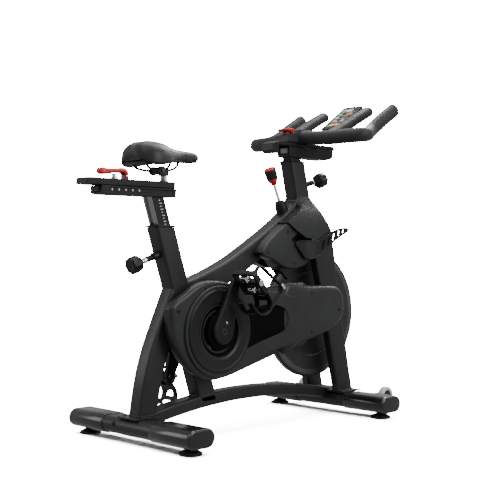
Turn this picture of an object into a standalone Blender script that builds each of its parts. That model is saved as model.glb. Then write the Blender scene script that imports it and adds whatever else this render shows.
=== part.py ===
"""Indoor exercise bike with a belt-driven flywheel, in metres, +Z up.

+X is the way the rider faces and +Y is the rider's left. The drive side is -Y.
Points are stated from the middle of the four feet, and the whole bike is then moved by
SHIFT_X, so that the origin is under the middle of its overall length.
"""

import math

import bmesh
import bpy
from mathutils import Matrix, Vector

# ---------------------------------------------------------------- driving dimensions
SHIFT_X = 0.0276
GAP = 0.0003
RUNNING = 0.00008

FOOT_X = 0.460
FOOT_Y = 0.2506
FOOT_R = 0.036
STAB_Z = 0.052
STAB_HALF_X = 0.052
STAB_HALF_Z = 0.027
STAB_HALF_Y = 0.297
COVER_WALL = 0.0027
COVER_MOUTH_Y = 0.120
WALL = 0.003

SEAT_LEAN = math.radians(18.0)
SEAT_AXIS = Vector((-0.3435, 0.0, 0.610))
SEAT_TOP_Z = 0.682
HEAD_LEAN = math.radians(13.2)
HEAD_AXIS = Vector((0.2745, 0.0, 0.865))
HEAD_TOP_Z = 0.928
TUBE_HALF_D = 0.035
TUBE_HALF_W = 0.0285
TUBE_R = 0.012
POST_HALF_D = 0.028
POST_HALF_W = 0.022
GROOVE_HALF_W = 0.008
GROOVE_DEPTH = 0.005

CRANK = Vector((-0.188, 0.0, 0.342))
CRANK_LENGTH = 0.170
CRANK_ANGLE = math.radians(70.0)
CRANK_INNER_Y = 0.0945
CRANK_THICK = 0.018
AXLE_R = 0.0125
PULLEY_R = 0.100
BELT_Y = 0.043
BELT_HALF_W = 0.007
BELT_THICK = 0.003
PEDAL_PITCH = math.radians(-48.0)

WHEEL = Vector((0.357, 0.0, 0.374))
WHEEL_R = 0.235
WHEEL_HALF_W = 0.0125
WHEEL_AXLE_R = 0.0085
LEG_Y = 0.073
LEG_HALF_Y = 0.017

BRAKE_TOP = Vector((0.190, 0.0, 0.785))
BRAKE_UP = Vector((-0.404, 0.0, 0.915)).normalized()
BRAKE_PIVOT = Vector((0.125, 0.0, 0.588))

GUIDE_Z = 0.778
RUNNER_HALF_W = 0.0195
SADDLE_PIVOT = Vector((-0.380, 0.0, 0.863))
SEAT_LEVER_PIVOT = Vector((-0.512, 0.0, 0.839))
BAR_LEVER_PIVOT = Vector((0.240, 0.0, 1.0420))
BAR_CENTRE = Vector((0.275, 0.0, 1.0195))
BAR_POINTS = (
    (0.577, 0.229, 1.135),
    (0.500, 0.230, 1.089),
    (0.432, 0.234, 1.046),
    (0.395, 0.246, 1.0265),
    (0.366, 0.256, 1.0180),
    (0.341, 0.252, 1.0150),
    (0.322, 0.222, 1.0145),
    (0.298, 0.130, 1.0155),
)
BAR_HALF_W = 0.0225
BAR_HALF_H = 0.0265
CONSOLE_MID = Vector((0.5465, 0.0, 1.1175))
CONSOLE_TILT = math.radians(34.7)

X = Vector((1.0, 0.0, 0.0))
Y = Vector((0.0, 1.0, 0.0))
Z = Vector((0.0, 0.0, 1.0))
SEAT_UP = Vector((-math.sin(SEAT_LEAN), 0.0, math.cos(SEAT_LEAN)))
SEAT_BACK = Vector((-math.cos(SEAT_LEAN), 0.0, -math.sin(SEAT_LEAN)))
HEAD_UP = Vector((-math.sin(HEAD_LEAN), 0.0, math.cos(HEAD_LEAN)))
HEAD_FRONT = Vector((math.cos(HEAD_LEAN), 0.0, math.sin(HEAD_LEAN)))
SEAT_PIN_BASE = SEAT_AXIS - SEAT_UP * 0.005
HEAD_PIN_BASE = HEAD_AXIS - HEAD_UP * 0.026
RIGHT_PEDAL = CRANK + X * (CRANK_LENGTH * math.cos(CRANK_ANGLE)) + Z * (CRANK_LENGTH * math.sin(CRANK_ANGLE))
LEFT_PEDAL = CRANK * 2 - RIGHT_PEDAL

# ---------------------------------------------------------------- scene, materials, helpers
for old in list(bpy.data.objects):
    bpy.data.objects.remove(old, do_unlink=True)

PARTS = bpy.data.collections.new("exercise_bike")
CUTTERS = bpy.data.collections.new("cutters")
bpy.context.scene.collection.children.link(PARTS)
bpy.context.scene.collection.children.link(CUTTERS)
CUTTERS.hide_render = True


def material(name, colour, metallic, roughness):
    """A plain Principled material."""
    made = bpy.data.materials.new(name)
    made.use_nodes = True
    shader = made.node_tree.nodes["Principled BSDF"]
    shader.inputs["Base Color"].default_value = (*colour, 1.0)
    shader.inputs["Metallic"].default_value = metallic
    shader.inputs["Roughness"].default_value = roughness
    return made


FRAME_PAINT = material("frame_paint", (0.030, 0.031, 0.033), 0.0, 0.42)
COVER_PLASTIC = material("cover_plastic", (0.045, 0.046, 0.048), 0.0, 0.34)
BLACK_PLASTIC = material("black_plastic", (0.012, 0.012, 0.013), 0.0, 0.5)
RED_PLASTIC = material("red_plastic", (0.62, 0.02, 0.02), 0.0, 0.35)
RUBBER = material("rubber", (0.03, 0.03, 0.03), 0.0, 0.75)
GRIP_RUBBER = material("grip_rubber", (0.035, 0.035, 0.036), 0.0, 0.6)
SADDLE_SKIN = material("saddle_skin", (0.03, 0.03, 0.031), 0.0, 0.55)
STEEL = material("steel", (0.62, 0.62, 0.63), 1.0, 0.3)
ALUMINIUM = material("aluminium", (0.72, 0.73, 0.74), 1.0, 0.35)
CAST_IRON = material("cast_iron", (0.07, 0.07, 0.075), 0.6, 0.4)
WHEEL_GREY = material("wheel_grey", (0.62, 0.62, 0.61), 0.0, 0.5)


def finish(name, mesh_data, paint, collection=PARTS):
    """Turns a bmesh into a named object with outward faces."""
    bmesh.ops.recalc_face_normals(mesh_data, faces=mesh_data.faces)
    mesh = bpy.data.meshes.new(name)
    mesh_data.to_mesh(mesh)
    mesh_data.free()
    if paint:
        mesh.materials.append(paint)
    made = bpy.data.objects.new(name, mesh)
    collection.objects.link(made)
    if collection is CUTTERS:
        made.hide_render = True
        made.display_type = "WIRE"
    return made


def rounded_rect(half_u, half_v, radius, per_corner=3):
    """Anticlockwise (u, v) points of a rectangle with rounded corners."""
    points = []
    for k, (su, sv) in enumerate(((1, 1), (-1, 1), (-1, -1), (1, -1))):
        for i in range(per_corner):
            angle = math.pi / 2 * (k + i / (per_corner - 1))
            u = su * (half_u - radius) + radius * math.cos(angle)
            v = sv * (half_v - radius) + radius * math.sin(angle)
            points.append((u, v))
    return points


def oval(half_u, half_v, count=16):
    """Anticlockwise (u, v) points of an ellipse."""
    angles = [2 * math.pi * k / count for k in range(count)]
    return [(half_u * math.cos(a), half_v * math.sin(a)) for a in angles]


def loft(name, rings, paint, collection=PARTS):
    """A closed solid through rings that hold the same number of points."""
    bm = bmesh.new()
    rows = [[bm.verts.new(p) for p in ring] for ring in rings]
    for low, high in zip(rows, rows[1:]):
        for i in range(len(low)):
            j = (i + 1) % len(low)
            bm.faces.new((low[i], low[j], high[j], high[i]))
    bm.faces.new(rows[0])
    bm.faces.new(rows[-1])
    return finish(name, bm, paint, collection)


def ring_at(centre, u, v, section):
    """A section placed at a point in the plane of u and v."""
    return [centre + u * a + v * b for a, b in section]


def sweep(name, path, section, side, paint, collection=PARTS):
    """A section, or one section per point, carried along a path."""
    rings = []
    for i, point in enumerate(path):
        along = (path[min(i + 1, len(path) - 1)] - path[max(i - 1, 0)]).normalized()
        u = (side - along * side.dot(along)).normalized()
        v = along.cross(u)
        shape = section[i] if isinstance(section[0], list) else section
        rings.append(ring_at(point, u, v, shape))
    return loft(name, rings, paint, collection)


def lathe(name, profile, origin, axis, paint, collection=PARTS, steps=24, ring=False):
    """Profile points (radius, height) turned about an axis. ring closes the profile on itself."""
    w = axis.normalized()
    u = Y.cross(w) if abs(w.y) < 0.9 else X
    u = u.normalized()
    v = w.cross(u)
    bm = bmesh.new()
    rows = []
    for radius, height in profile:
        centre = origin + w * height
        if radius == 0:
            rows.append([bm.verts.new(centre)])
            continue
        turns = [2 * math.pi * k / steps for k in range(steps)]
        rows.append([bm.verts.new(centre + (u * math.cos(a) + v * math.sin(a)) * radius) for a in turns])
    pairs = list(zip(rows, rows[1:]))
    if ring:
        pairs.append((rows[-1], rows[0]))
    for low, high in pairs:
        for i in range(steps):
            j = (i + 1) % steps
            corners = [low[i % len(low)], low[j % len(low)], high[j % len(high)], high[i % len(high)]]
            bm.faces.new(list(dict.fromkeys(corners)))
    return finish(name, bm, paint, collection)


def rod(name, centre, axis, radius, low, high, paint=None, collection=CUTTERS, steps=24):
    """A plain cylinder between two heights along an axis."""
    profile = [(0, low), (radius, low), (radius, high), (0, high)]
    return lathe(name, profile, centre, axis, paint, collection, steps)


def prism(name, outline, y_low, y_high, paint=None, collection=CUTTERS):
    """An outline of (x, z) points drawn out between two y planes."""
    rings = [[Vector((x, y, z)) for x, z in outline] for y in (y_low, y_high)]
    return loft(name, rings, paint, collection)


def block(name, low, high, paint=None, collection=CUTTERS):
    """A box between two corners."""
    outline = [(low[0], low[2]), (high[0], low[2]), (high[0], high[2]), (low[0], high[2])]
    return prism(name, outline, low[1], high[1], paint, collection)


def smooth_loop(points, per=3):
    """A closed curve through (x, z) points."""
    made = []
    count = len(points)
    for i in range(count):
        p0, p1, p2, p3 = (points[(i + k) % count] for k in (-1, 0, 1, 2))
        for s in range(per):
            t = s / per
            weights = (
                -0.5 * t**3 + t**2 - 0.5 * t,
                1.5 * t**3 - 2.5 * t**2 + 1,
                -1.5 * t**3 + 2 * t**2 + 0.5 * t,
                0.5 * t**3 - 0.5 * t**2,
            )
            made.append(tuple(sum(w * p[k] for w, p in zip(weights, (p0, p1, p2, p3))) for k in (0, 1)))
    return made


def smooth_path(points, per=4):
    """An open curve through 3-D points."""
    full = [points[0] * 2 - points[1], *points, points[-1] * 2 - points[-2]]
    made = []
    for i in range(len(points) - 1):
        p0, p1, p2, p3 = full[i : i + 4]
        for s in range(per):
            t = s / per
            made.append(
                p0 * (-0.5 * t**3 + t**2 - 0.5 * t)
                + p1 * (1.5 * t**3 - 2.5 * t**2 + 1)
                + p2 * (-1.5 * t**3 + 2 * t**2 + 0.5 * t)
                + p3 * (0.5 * t**3 - 0.5 * t**2)
            )
    return [*made, points[-1]]


def inset(outline, distance):
    """A loop of (x, z) points moved towards its inside."""
    area = sum(a[0] * b[1] - b[0] * a[1] for a, b in zip(outline, outline[1:] + outline[:1]))
    sign = 1 if area > 0 else -1
    made = []
    for i, (x, z) in enumerate(outline):
        before = outline[i - 1]
        after = outline[(i + 1) % len(outline)]
        run = Vector((after[0] - before[0], after[1] - before[1])).normalized()
        made.append((x - sign * run.y * distance, z + sign * run.x * distance))
    return made


def arc(x, z, radius, start, stop, count):
    """(x, z) points on an arc, in degrees."""
    angles = [math.radians(start + (stop - start) * k / (count - 1)) for k in range(count)]
    return [(x + radius * math.cos(a), z + radius * math.sin(a)) for a in angles]


def dome_plate(name, outline, y_base, y_top, rim, paint, collection=PARTS):
    """A plate whose outer edge is rounded over towards y_top."""
    out = 1 if y_top > y_base else -1
    steps = [(0.0, y_base), (0.0, y_top - out * rim), (rim * 0.7, y_top)]
    rings = [[Vector((x, y, z)) for x, z in inset(outline, d)] for d, y in steps]
    return loft(name, rings, paint, collection)


def boolean(target, tools, operation="DIFFERENCE"):
    """Adds one exact Boolean for each tool."""
    for tool in tools:
        step = target.modifiers.new(tool.name, "BOOLEAN")
        step.operation = operation
        step.solver = "EXACT"
        step.object = tool
    return target


def join(target, tools):
    return boolean(target, tools, "UNION")


def bevel(target, width, segments=1, angle=35):
    """Rounds the edges of a part that are sharper than an angle."""
    step = target.modifiers.new("edge_round", "BEVEL")
    step.width = width
    step.segments = segments
    step.limit_method = "ANGLE"
    step.angle_limit = math.radians(angle)
    return target


def origin_at(target, point):
    """Puts a moving piece's origin on its joint axis."""
    target.data.transform(Matrix.Translation(-point))
    target.location = point
    return target


def mirrored(points):
    """A path on the other side of the bike."""
    return [Vector((p.x, -p.y, p.z)) for p in points]


def along_seat(z):
    """The point of the seat tube's axis at a height."""
    return SEAT_AXIS + SEAT_UP * ((z - SEAT_AXIS.z) / SEAT_UP.z)


def along_head(z):
    """The point of the head tube's axis at a height."""
    return HEAD_AXIS + HEAD_UP * ((z - HEAD_AXIS.z) / HEAD_UP.z)


def column(name, along, lean, heights, half_d, half_w, radius, paint=None, collection=CUTTERS):
    """A leaning tube, bar or bore whose ends are cut level."""
    section = rounded_rect(half_d / math.cos(lean), half_w, radius)
    return loft(name, [ring_at(along(z), X, Y, section) for z in heights], paint, collection)


# ---------------------------------------------------------------- welded frame
BEAM_LINE = [
    Vector((x, 0.0, z))
    for x, z in (
        (-0.300, 0.468),
        (-0.255, 0.476),
        (-0.173, 0.502),
        (-0.070, 0.544),
        (0.028, 0.596),
        (0.129, 0.654),
        (0.210, 0.707),
        (0.272, 0.756),
        (0.300, 0.782),
    )
]
REAR_LINE = [
    Vector((x, 0.0, z))
    for x, z in (
        (-0.290, 0.500),
        (-0.306, 0.472),
        (-0.354, 0.368),
        (-0.395, 0.275),
        (-0.4225, 0.182),
        (-0.4405, 0.0795),
    )
]
ARCH_LINE = [Vector((-0.445 + 0.0905 * k, 0.0, 0.116 - 0.24 * (-0.445 + 0.0905 * k) ** 2)) for k in range(11)]
LEG_STEPS = (
    (0.690, 0.0500, 0.055),
    (0.632, 0.0570, LEG_Y),
    (0.535, 0.0510, LEG_Y),
    (0.460, 0.0470, LEG_Y),
    (0.290, 0.0437, LEG_Y),
    (0.0845, 0.0405, LEG_Y),
)


def leg(name, sign, extra, paint, collection):
    """One fork blade, in line with the head tube, wider at the top."""
    rings = []
    for z, half, y in LEG_STEPS:
        centre = along_head(z) + Y * (sign * y)
        rings.append(ring_at(centre, X, Y, rounded_rect(half + extra, LEG_HALF_Y + extra, 0.007 + extra, 2)))
    return loft(name, rings, paint, collection)


def beam(name, extra, collection=CUTTERS):
    """The curved main beam, grown or shrunk by extra."""
    section = rounded_rect(0.029 + extra, 0.035 + extra, max(0.004, 0.011 + extra))
    return sweep(name, BEAM_LINE, section, Y, None, collection)


TUBE = (TUBE_HALF_D, TUBE_HALF_W, TUBE_R)
BORE = (TUBE_HALF_D - WALL, TUBE_HALF_W - WALL, TUBE_R - WALL)
rear_section = rounded_rect(0.028, 0.035, 0.011)
arch_section = rounded_rect(0.030, 0.021, 0.008)

frame = column("frame", along_seat, SEAT_LEAN, (SEAT_TOP_Z, 0.115), *TUBE, FRAME_PAINT, PARTS)
crown_rings = []
for z, half_x, half_y in ((0.815, 0.034, 0.0270), (0.760, 0.049, 0.045), (0.700, 0.056, 0.0745), (0.643, 0.0575, 0.0905)):
    crown_rings.append(ring_at(along_head(z), X, Y, rounded_rect(half_x, half_y, 0.012)))
pin_boss = [(0, 0.030), (0.0125, 0.030), (0.0125, 0.062), (0, 0.062)]
join(
    frame,
    [
        sweep("rear_post", REAR_LINE, rear_section, Y, None, CUTTERS),
        beam("main_beam", 0.0),
        sweep("arched_base", ARCH_LINE, arch_section, Y, None, CUTTERS),
        column("head_tube", along_head, HEAD_LEAN, (HEAD_TOP_Z, 0.745), *TUBE),
        loft("crown", crown_rings, None, CUTTERS),
        leg("leg_right", -1, 0.0, None, CUTTERS),
        leg("leg_left", 1, 0.0, None, CUTTERS),
        rod("bracket_shell", CRANK, Y, 0.027, -0.034, 0.034),
        block("bracket_gusset", (-0.262, -0.024, 0.322), (-0.192, 0.024, 0.362)),
        block("rear_plate", (-0.505, -0.046, 0.0793), (-0.395, 0.046, 0.0853)),
        block("front_plate", (0.415, -0.112, 0.0793), (0.519, 0.112, 0.0853)),
        lathe("seat_pin_boss", pin_boss, SEAT_PIN_BASE, SEAT_BACK, None, CUTTERS, 16),
        lathe("head_pin_boss", pin_boss, HEAD_PIN_BASE, HEAD_FRONT, None, CUTTERS, 16),
        prism("brake_lug_right", [*arc(0.125, 0.588, 0.012, 180, 360, 7), (0.137, 0.640), (0.113, 0.630)], -0.028, -0.022),
        prism("brake_lug_left", [*arc(0.125, 0.588, 0.012, 180, 360, 7), (0.137, 0.640), (0.113, 0.630)], 0.022, 0.028),
        rod("brake_pin", BRAKE_PIVOT, Y, 0.006, -0.026, 0.026),
    ],
)
boolean(
    frame,
    [
        column("seat_bore", along_seat, SEAT_LEAN, (0.70, 0.15), *BORE),
        column("head_bore", along_head, HEAD_LEAN, (0.95, 0.675), *BORE),
        rod("axle_bore", CRANK, Y, AXLE_R + RUNNING, -0.05, 0.05, steps=32),
        rod("wheel_axle_bore", WHEEL, Y, WHEEL_AXLE_R + GAP, -0.12, 0.12, steps=24),
        rod("seat_pin_bore", SEAT_PIN_BASE, SEAT_BACK, 0.006 + RUNNING, 0.0, 0.07, steps=16),
        rod("head_pin_bore", HEAD_PIN_BASE, HEAD_FRONT, 0.006 + RUNNING, 0.0, 0.07, steps=16),
        rod("brake_rod_bore", BRAKE_TOP, BRAKE_UP, 0.006, -0.150, 0.0, steps=16),
    ],
)
for sign, end in ((-1, "rear"), (1, "front")):
    grown = rounded_rect(STAB_HALF_X + GAP, STAB_HALF_Z + GAP, STAB_HALF_Z + GAP, 5)
    centre = Vector((sign * FOOT_X, 0.0, STAB_Z))
    rings = [ring_at(centre + Y * y, X, Z, grown) for y in (-0.2, 0.2)]
    boolean(frame, [loft(end + "_seat", rings, None, CUTTERS)])


# ---------------------------------------------------------------- stabilisers, end covers, feet, wheels
def stabiliser(name, x):
    """A hollow obround cross tube."""
    outer = rounded_rect(STAB_HALF_X, STAB_HALF_Z, STAB_HALF_Z, 5)
    inner = rounded_rect(STAB_HALF_X - WALL, STAB_HALF_Z - WALL, STAB_HALF_Z - WALL, 5)
    centre = Vector((x, 0.0, STAB_Z))
    made = loft(name, [ring_at(centre + Y * y, X, Z, outer) for y in (-STAB_HALF_Y, STAB_HALF_Y)], FRAME_PAINT)
    hollow = [ring_at(centre + Y * y, X, Z, inner) for y in (-STAB_HALF_Y - 0.01, STAB_HALF_Y + 0.01)]
    boolean(made, [loft(name + "_hollow", hollow, None, CUTTERS)])
    for y in (-FOOT_Y, FOOT_Y):
        boolean(made, [rod(name + "_stud_hole", Vector((x, y, 0)), Z, 0.0055, 0.015, 0.045, steps=12)])
    return made


def end_cover(name, x, side, wheel):
    """A moulded sleeve over one end of a stabiliser. The front ones carry a transport wheel."""
    grow = COVER_WALL + GAP
    centre = Vector((x, 0.0, STAB_Z))
    stations = ((COVER_MOUTH_Y, grow), (0.296, grow), (0.3005, grow - 0.002), (0.3025, grow - 0.006))
    rings = []
    for y, g in stations:
        section = rounded_rect(STAB_HALF_X + g, STAB_HALF_Z + g, STAB_HALF_Z + g, 5)
        rings.append(ring_at(centre + Y * (side * y), X, Z, section))
    made = loft(name, rings, COVER_PLASTIC)
    if wheel:
        for k, offset in enumerate((-0.0165, 0.0165)):
            y = side * 0.200 + offset
            ear = [*arc(0.556, 0.066, 0.011, -80, 95, 4), (0.506, 0.076), (0.506, 0.044)]
            join(made, [prism(f"{name}_ear{k}", ear, y - 0.002, y + 0.002)])
        join(made, [rod(name + "_pin", Vector((0.556, side * 0.200, 0.066)), Y, 0.004, -0.017, 0.017)])
    pocket = rounded_rect(STAB_HALF_X + GAP, STAB_HALF_Z + GAP, STAB_HALF_Z + GAP, 5)
    hollow = [ring_at(centre + Y * (side * y), X, Z, pocket) for y in (COVER_MOUTH_Y - 0.01, STAB_HALF_Y + GAP)]
    boolean(made, [loft(name + "_pocket", hollow, None, CUTTERS)])
    boolean(made, [rod(name + "_stud_hole", Vector((x, side * FOOT_Y, 0)), Z, 0.0055, 0.010, 0.035, steps=12)])
    return made


def foot(name, x, y):
    """A rubber levelling foot on a threaded stud."""
    profile = [
        (0, 0),
        (FOOT_R - 0.002, 0),
        (FOOT_R, 0.003),
        (FOOT_R - 0.002, 0.011),
        (0.014, 0.0165),
        (0.013, 0.0212),
        (0.005, 0.0212),
        (0.005, 0.042),
        (0, 0.042),
    ]
    return origin_at(lathe(name, profile, Vector((x, y, 0.0)), Z, RUBBER, steps=16), Vector((x, y, 0.0)))


stabiliser("stabiliser_rear", -FOOT_X)
stabiliser("stabiliser_front", FOOT_X)
for end, x in (("rear", -FOOT_X), ("front", FOOT_X)):
    for hand, side in (("right", -1), ("left", 1)):
        end_cover(f"end_cover_{end}_{hand}", x, side, end == "front")
        foot(f"foot_{end}_{hand}", x, side * FOOT_Y)
for hand, side in (("right", -1), ("left", 1)):
    hub = Vector((0.556, side * 0.200, 0.066))
    bore = 0.004 + RUNNING
    profile = [(bore, -0.0135), (0.029, -0.0120), (0.0335, -0.008)]
    profile += [(r, -h) for r, h in reversed(profile)]
    origin_at(lathe(f"transport_wheel_{hand}", profile, hub, Y, WHEEL_GREY, steps=24, ring=True), hub)


# ---------------------------------------------------------------- seat post, slider and saddle
def collar(name, along, lean, top, sleeve):
    """A plastic collar: a level flange on the tube's top face and a sleeve down inside it."""
    flange = (TUBE_HALF_D + 0.0035, TUBE_HALF_W + 0.0035, TUBE_R + 0.002)
    liner = (TUBE_HALF_D - WALL - GAP, TUBE_HALF_W - WALL - GAP, TUBE_R - WALL)
    hole = (POST_HALF_D + GAP, POST_HALF_W + GAP, 0.006)
    base = top + GAP
    made = column(name, along, lean, (base + 0.006, base), *flange, BLACK_PLASTIC, PARTS)
    join(made, [column(name + "_liner", along, lean, (base + 0.002, base - sleeve), *liner)])
    return boolean(made, [column(name + "_hole", along, lean, (base + 0.05, base - 0.2), *hole)])


def post(name, along, lean, low, high, way):
    """An extruded post with a flat groove for its locking pin."""
    made = column(name, along, lean, (high, low), POST_HALF_D, POST_HALF_W, 0.006, ALUMINIUM, PARTS)
    line = [along(z) + way * POST_HALF_D for z in (high + 0.02, low - 0.02)]
    groove = sweep(name + "_groove", line, rounded_rect(GROOVE_HALF_W, GROOVE_DEPTH, 0.001, 2), Y, None, CUTTERS)
    return boolean(made, [groove])


def pull_pin(name, base, way):
    """A pull knob on a pin: the pin's tip rides in the post's groove."""
    profile = [
        (0, 0.0255),
        (0.006, 0.0255),
        (0.006, 0.066),
        (0.0095, 0.067),
        (0.0095, 0.100),
        (0.007, 0.104),
        (0.007, 0.122),
        (0.013, 0.126),
        (0.013, 0.136),
        (0, 0.136),
    ]
    made = lathe(name, profile, base, way, BLACK_PLASTIC, steps=16)
    u = Y
    v = way.cross(u)
    lobes = []
    for k in range(16):
        a = 2 * math.pi * k / 16
        radius = 0.0265 + 0.0018 * math.cos(8 * a)
        lobes.append((radius * math.cos(a), radius * math.sin(a)))
    stations = ((0.132, 0.93), (0.136, 1.0), (0.152, 1.0), (0.158, 0.84))
    rings = [ring_at(base + way * h, u, v, [(a * s, b * s) for a, b in lobes]) for h, s in stations]
    join(made, [loft(name + "_knob", rings, None, CUTTERS)])
    return origin_at(made, base)


seat_top = along_seat(SEAT_TOP_Z)
head_top = along_head(HEAD_TOP_Z)
collar("seat_collar", along_seat, SEAT_LEAN, SEAT_TOP_Z, 0.045)
collar("head_collar", along_head, HEAD_LEAN, HEAD_TOP_Z, 0.045)
pull_pin("seat_pin", SEAT_PIN_BASE, SEAT_BACK)
pull_pin("head_pin", HEAD_PIN_BASE, HEAD_FRONT)

origin_at(post("seat_post", along_seat, SEAT_LEAN, 0.49, GUIDE_Z - GAP, SEAT_BACK), seat_top)

seat_guide = prism(
    "seat_guide",
    [(-0.612, GUIDE_Z), (-0.327, GUIDE_Z), (-0.324, 0.806), (-0.620, 0.806), (-0.621, 0.784)],
    -0.030,
    0.030,
    BLACK_PLASTIC,
    PARTS,
)
bevel(seat_guide, 0.002)
boolean(
    seat_guide,
    [
        block("guide_channel", (-0.70, -RUNNER_HALF_W - GAP, 0.7865), (-0.30, RUNNER_HALF_W + GAP, 0.83)),
        block("guide_slot_right", (-0.592, -0.04, 0.790), (-0.337, -0.0265, 0.799)),
        block("guide_slot_left", (-0.592, 0.0265, 0.790), (-0.337, 0.04, 0.799)),
    ],
)
origin_at(seat_guide, seat_top)

seat_carriage = prism(
    "seat_carriage",
    [(-0.676, 0.8065), (-0.329, 0.8065), (-0.327, 0.828), (-0.640, 0.828), (-0.673, 0.824)],
    -0.029,
    0.029,
    BLACK_PLASTIC,
    PARTS,
)
bevel(seat_carriage, 0.003)
join(
    seat_carriage,
    [
        block("carriage_runner", (-0.606, -RUNNER_HALF_W, 0.788), (-0.337, RUNNER_HALF_W, 0.812)),
        block("lever_ear", (-0.5205, -0.0095, 0.824), (-0.5035, 0.0095, 0.839)),
        rod("lever_ear_top", SEAT_LEVER_PIVOT, Y, 0.0085, -0.0095, 0.0095),
        rod("lever_pin", SEAT_LEVER_PIVOT, Y, 0.004, -0.0145, 0.0145),
    ],
)
origin_at(seat_carriage, Vector((-0.52, 0.0, 0.8065)))

lever_block = lathe(
    "lever_block",
    [(0, 0.8283), (0.011, 0.8283), (0.011, 0.833), (0.008, 0.835), (0.008, 0.8450), (0, 0.8450)],
    Vector((-0.552, 0.0, 0.0)),
    Z,
    STEEL,
    steps=16,
)
lever_path = [
    Vector((-0.512, 0.0, 0.8325)),
    Vector((-0.512, 0.0, 0.8470)),
    Vector((-0.524, 0.0, 0.8555)),
    Vector((-0.552, 0.0, 0.8535)),
    Vector((-0.584, 0.0, 0.8515)),
    Vector((-0.612, 0.0, 0.8495)),
]
lever_widths = (0.0135, 0.0145, 0.0145, 0.0120, 0.0135, 0.0125)
lever_depths = (0.0075, 0.0075, 0.0058, 0.0055, 0.0070, 0.0085)
lever_shapes = [rounded_rect(w, d, 0.0030, 2) for w, d in zip(lever_widths, lever_depths)]
seat_lever = sweep("seat_lever", lever_path, lever_shapes, Y, RED_PLASTIC)
boolean(
    seat_lever,
    [
        block("lever_slot", (-0.530, -0.0100, 0.82), (-0.49, 0.0100, 0.8485)),
        rod("lever_pin_bore", SEAT_LEVER_PIVOT, Y, 0.004 + RUNNING, -0.03, 0.03),
    ],
)
origin_at(seat_lever, SEAT_LEVER_PIVOT)

saddle_stem = rod("saddle_stem", Vector((-0.354, 0.0, 0.0)), Z, 0.011, 0.8283, 0.8680, STEEL, PARTS)
clamp = lathe(
    "saddle_clamp",
    [(0, 0.8480), (0.0155, 0.8480), (0.0165, 0.8495), (0.0165, 0.8720), (0, 0.8720)],
    Vector((-0.354, 0.0, 0.0)),
    Z,
    BLACK_PLASTIC,
    steps=20,
)
join(clamp, [rod("clamp_barrel", SADDLE_PIVOT, Y, 0.0120, -0.0155, 0.0155)])
boolean(
    clamp,
    [
        rod("clamp_bolt_bore", SADDLE_PIVOT, Y, 0.004 + RUNNING, -0.03, 0.03),
        rod("clamp_stem_bore", Vector((-0.354, 0.0, 0.0)), Z, 0.0113, 0.84, 0.8682),
    ],
)


def rail_line(side):
    """One saddle rail, from its socket at the back to its socket under the nose."""
    points = ((-0.452, 0.036, 0.8985), (-0.446, 0.032, 0.874), (-0.420, 0.0240, 0.8645), (-0.380, 0.0215, 0.8630))
    points += ((-0.345, 0.0215, 0.8660), (-0.318, 0.021, 0.8790), (-0.300, 0.018, 0.9090))
    return smooth_path([Vector((x, side * y, z)) for x, y, z in points], 2)


rails = rod("saddle_rails", SADDLE_PIVOT, Y, 0.004, -0.030, 0.030, STEEL, PARTS)
for hand, side in (("right", -1), ("left", 1)):
    join(rails, [sweep("rail_" + hand, rail_line(side), oval(0.0035, 0.0035, 6), Z + X * 0.2, None, CUTTERS)])
    low, high = sorted((side * 0.0160, side * 0.0275))
    join(rails, [rod("rail_cheek_" + hand, SADDLE_PIVOT, Y, 0.0145, low, high, steps=16)])
origin_at(rails, SADDLE_PIVOT)

# Saddle stations: x, half width, height of the crown, height of the skirt.
SADDLE = (
    (-0.488, 0.040, 0.928, 0.900),
    (-0.478, 0.064, 0.944, 0.886),
    (-0.454, 0.081, 0.956, 0.879),
    (-0.420, 0.084, 0.957, 0.880),
    (-0.380, 0.072, 0.954, 0.888),
    (-0.345, 0.050, 0.947, 0.895),
    (-0.305, 0.034, 0.941, 0.899),
    (-0.260, 0.027, 0.938, 0.900),
    (-0.230, 0.024, 0.936, 0.9005),
    (-0.214, 0.017, 0.931, 0.903),
)


def saddle_ring(x, half, crown, skirt):
    """Half of a rounded hump over a flat underside."""
    over = [math.pi * k / 8 for k in range(9)]
    top = [Vector((x, half * math.cos(a), skirt + (crown - skirt) * math.sin(a) ** 0.7)) for a in over]
    return top + [Vector((x, -half * 0.6, skirt)), Vector((x, 0.0, skirt)), Vector((x, half * 0.6, skirt))]


cushion = loft("saddle_cushion", [saddle_ring(*row) for row in SADDLE], SADDLE_SKIN)
base_rings = []
for x, half, _, skirt in SADDLE[1:-1]:
    w = half - 0.004
    top = skirt - 4 * GAP
    low = skirt - 0.007
    outline = ((w, top), (w * 0.9, low), (w * 0.35, low + 0.002), (-w * 0.35, low + 0.002), (-w * 0.9, low), (-w, top))
    base_rings.append([Vector((x + 0.001, y, z)) for y, z in outline])
saddle_base = loft("saddle_base", base_rings, BLACK_PLASTIC)
for hand, side in (("right", -1), ("left", 1)):
    socket = sweep("rail_socket_" + hand, rail_line(side), oval(0.0039, 0.0039, 6), Z + X * 0.2, None, CUTTERS)
    boolean(saddle_base, [socket])
    boolean(cushion, [socket])
origin_at(cushion, SADDLE_PIVOT)
origin_at(saddle_base, SADDLE_PIVOT)

# ---------------------------------------------------------------- handlebar post, slider and bars
origin_at(post("bar_post", along_head, HEAD_LEAN, 0.745, 0.9505 - GAP, HEAD_FRONT), head_top)

bar_guide = prism(
    "bar_guide",
    [(0.212, 0.9505), (0.425, 0.9505), (0.450, 0.957), (0.455, 0.9745), (0.212, 0.9745)],
    -0.031,
    0.031,
    BLACK_PLASTIC,
    PARTS,
)
bevel(bar_guide, 0.002)
boolean(bar_guide, [block("bar_channel", (0.15, -RUNNER_HALF_W - GAP, 0.9580), (0.50, RUNNER_HALF_W + GAP, 1.0))])
origin_at(bar_guide, head_top)

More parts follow.
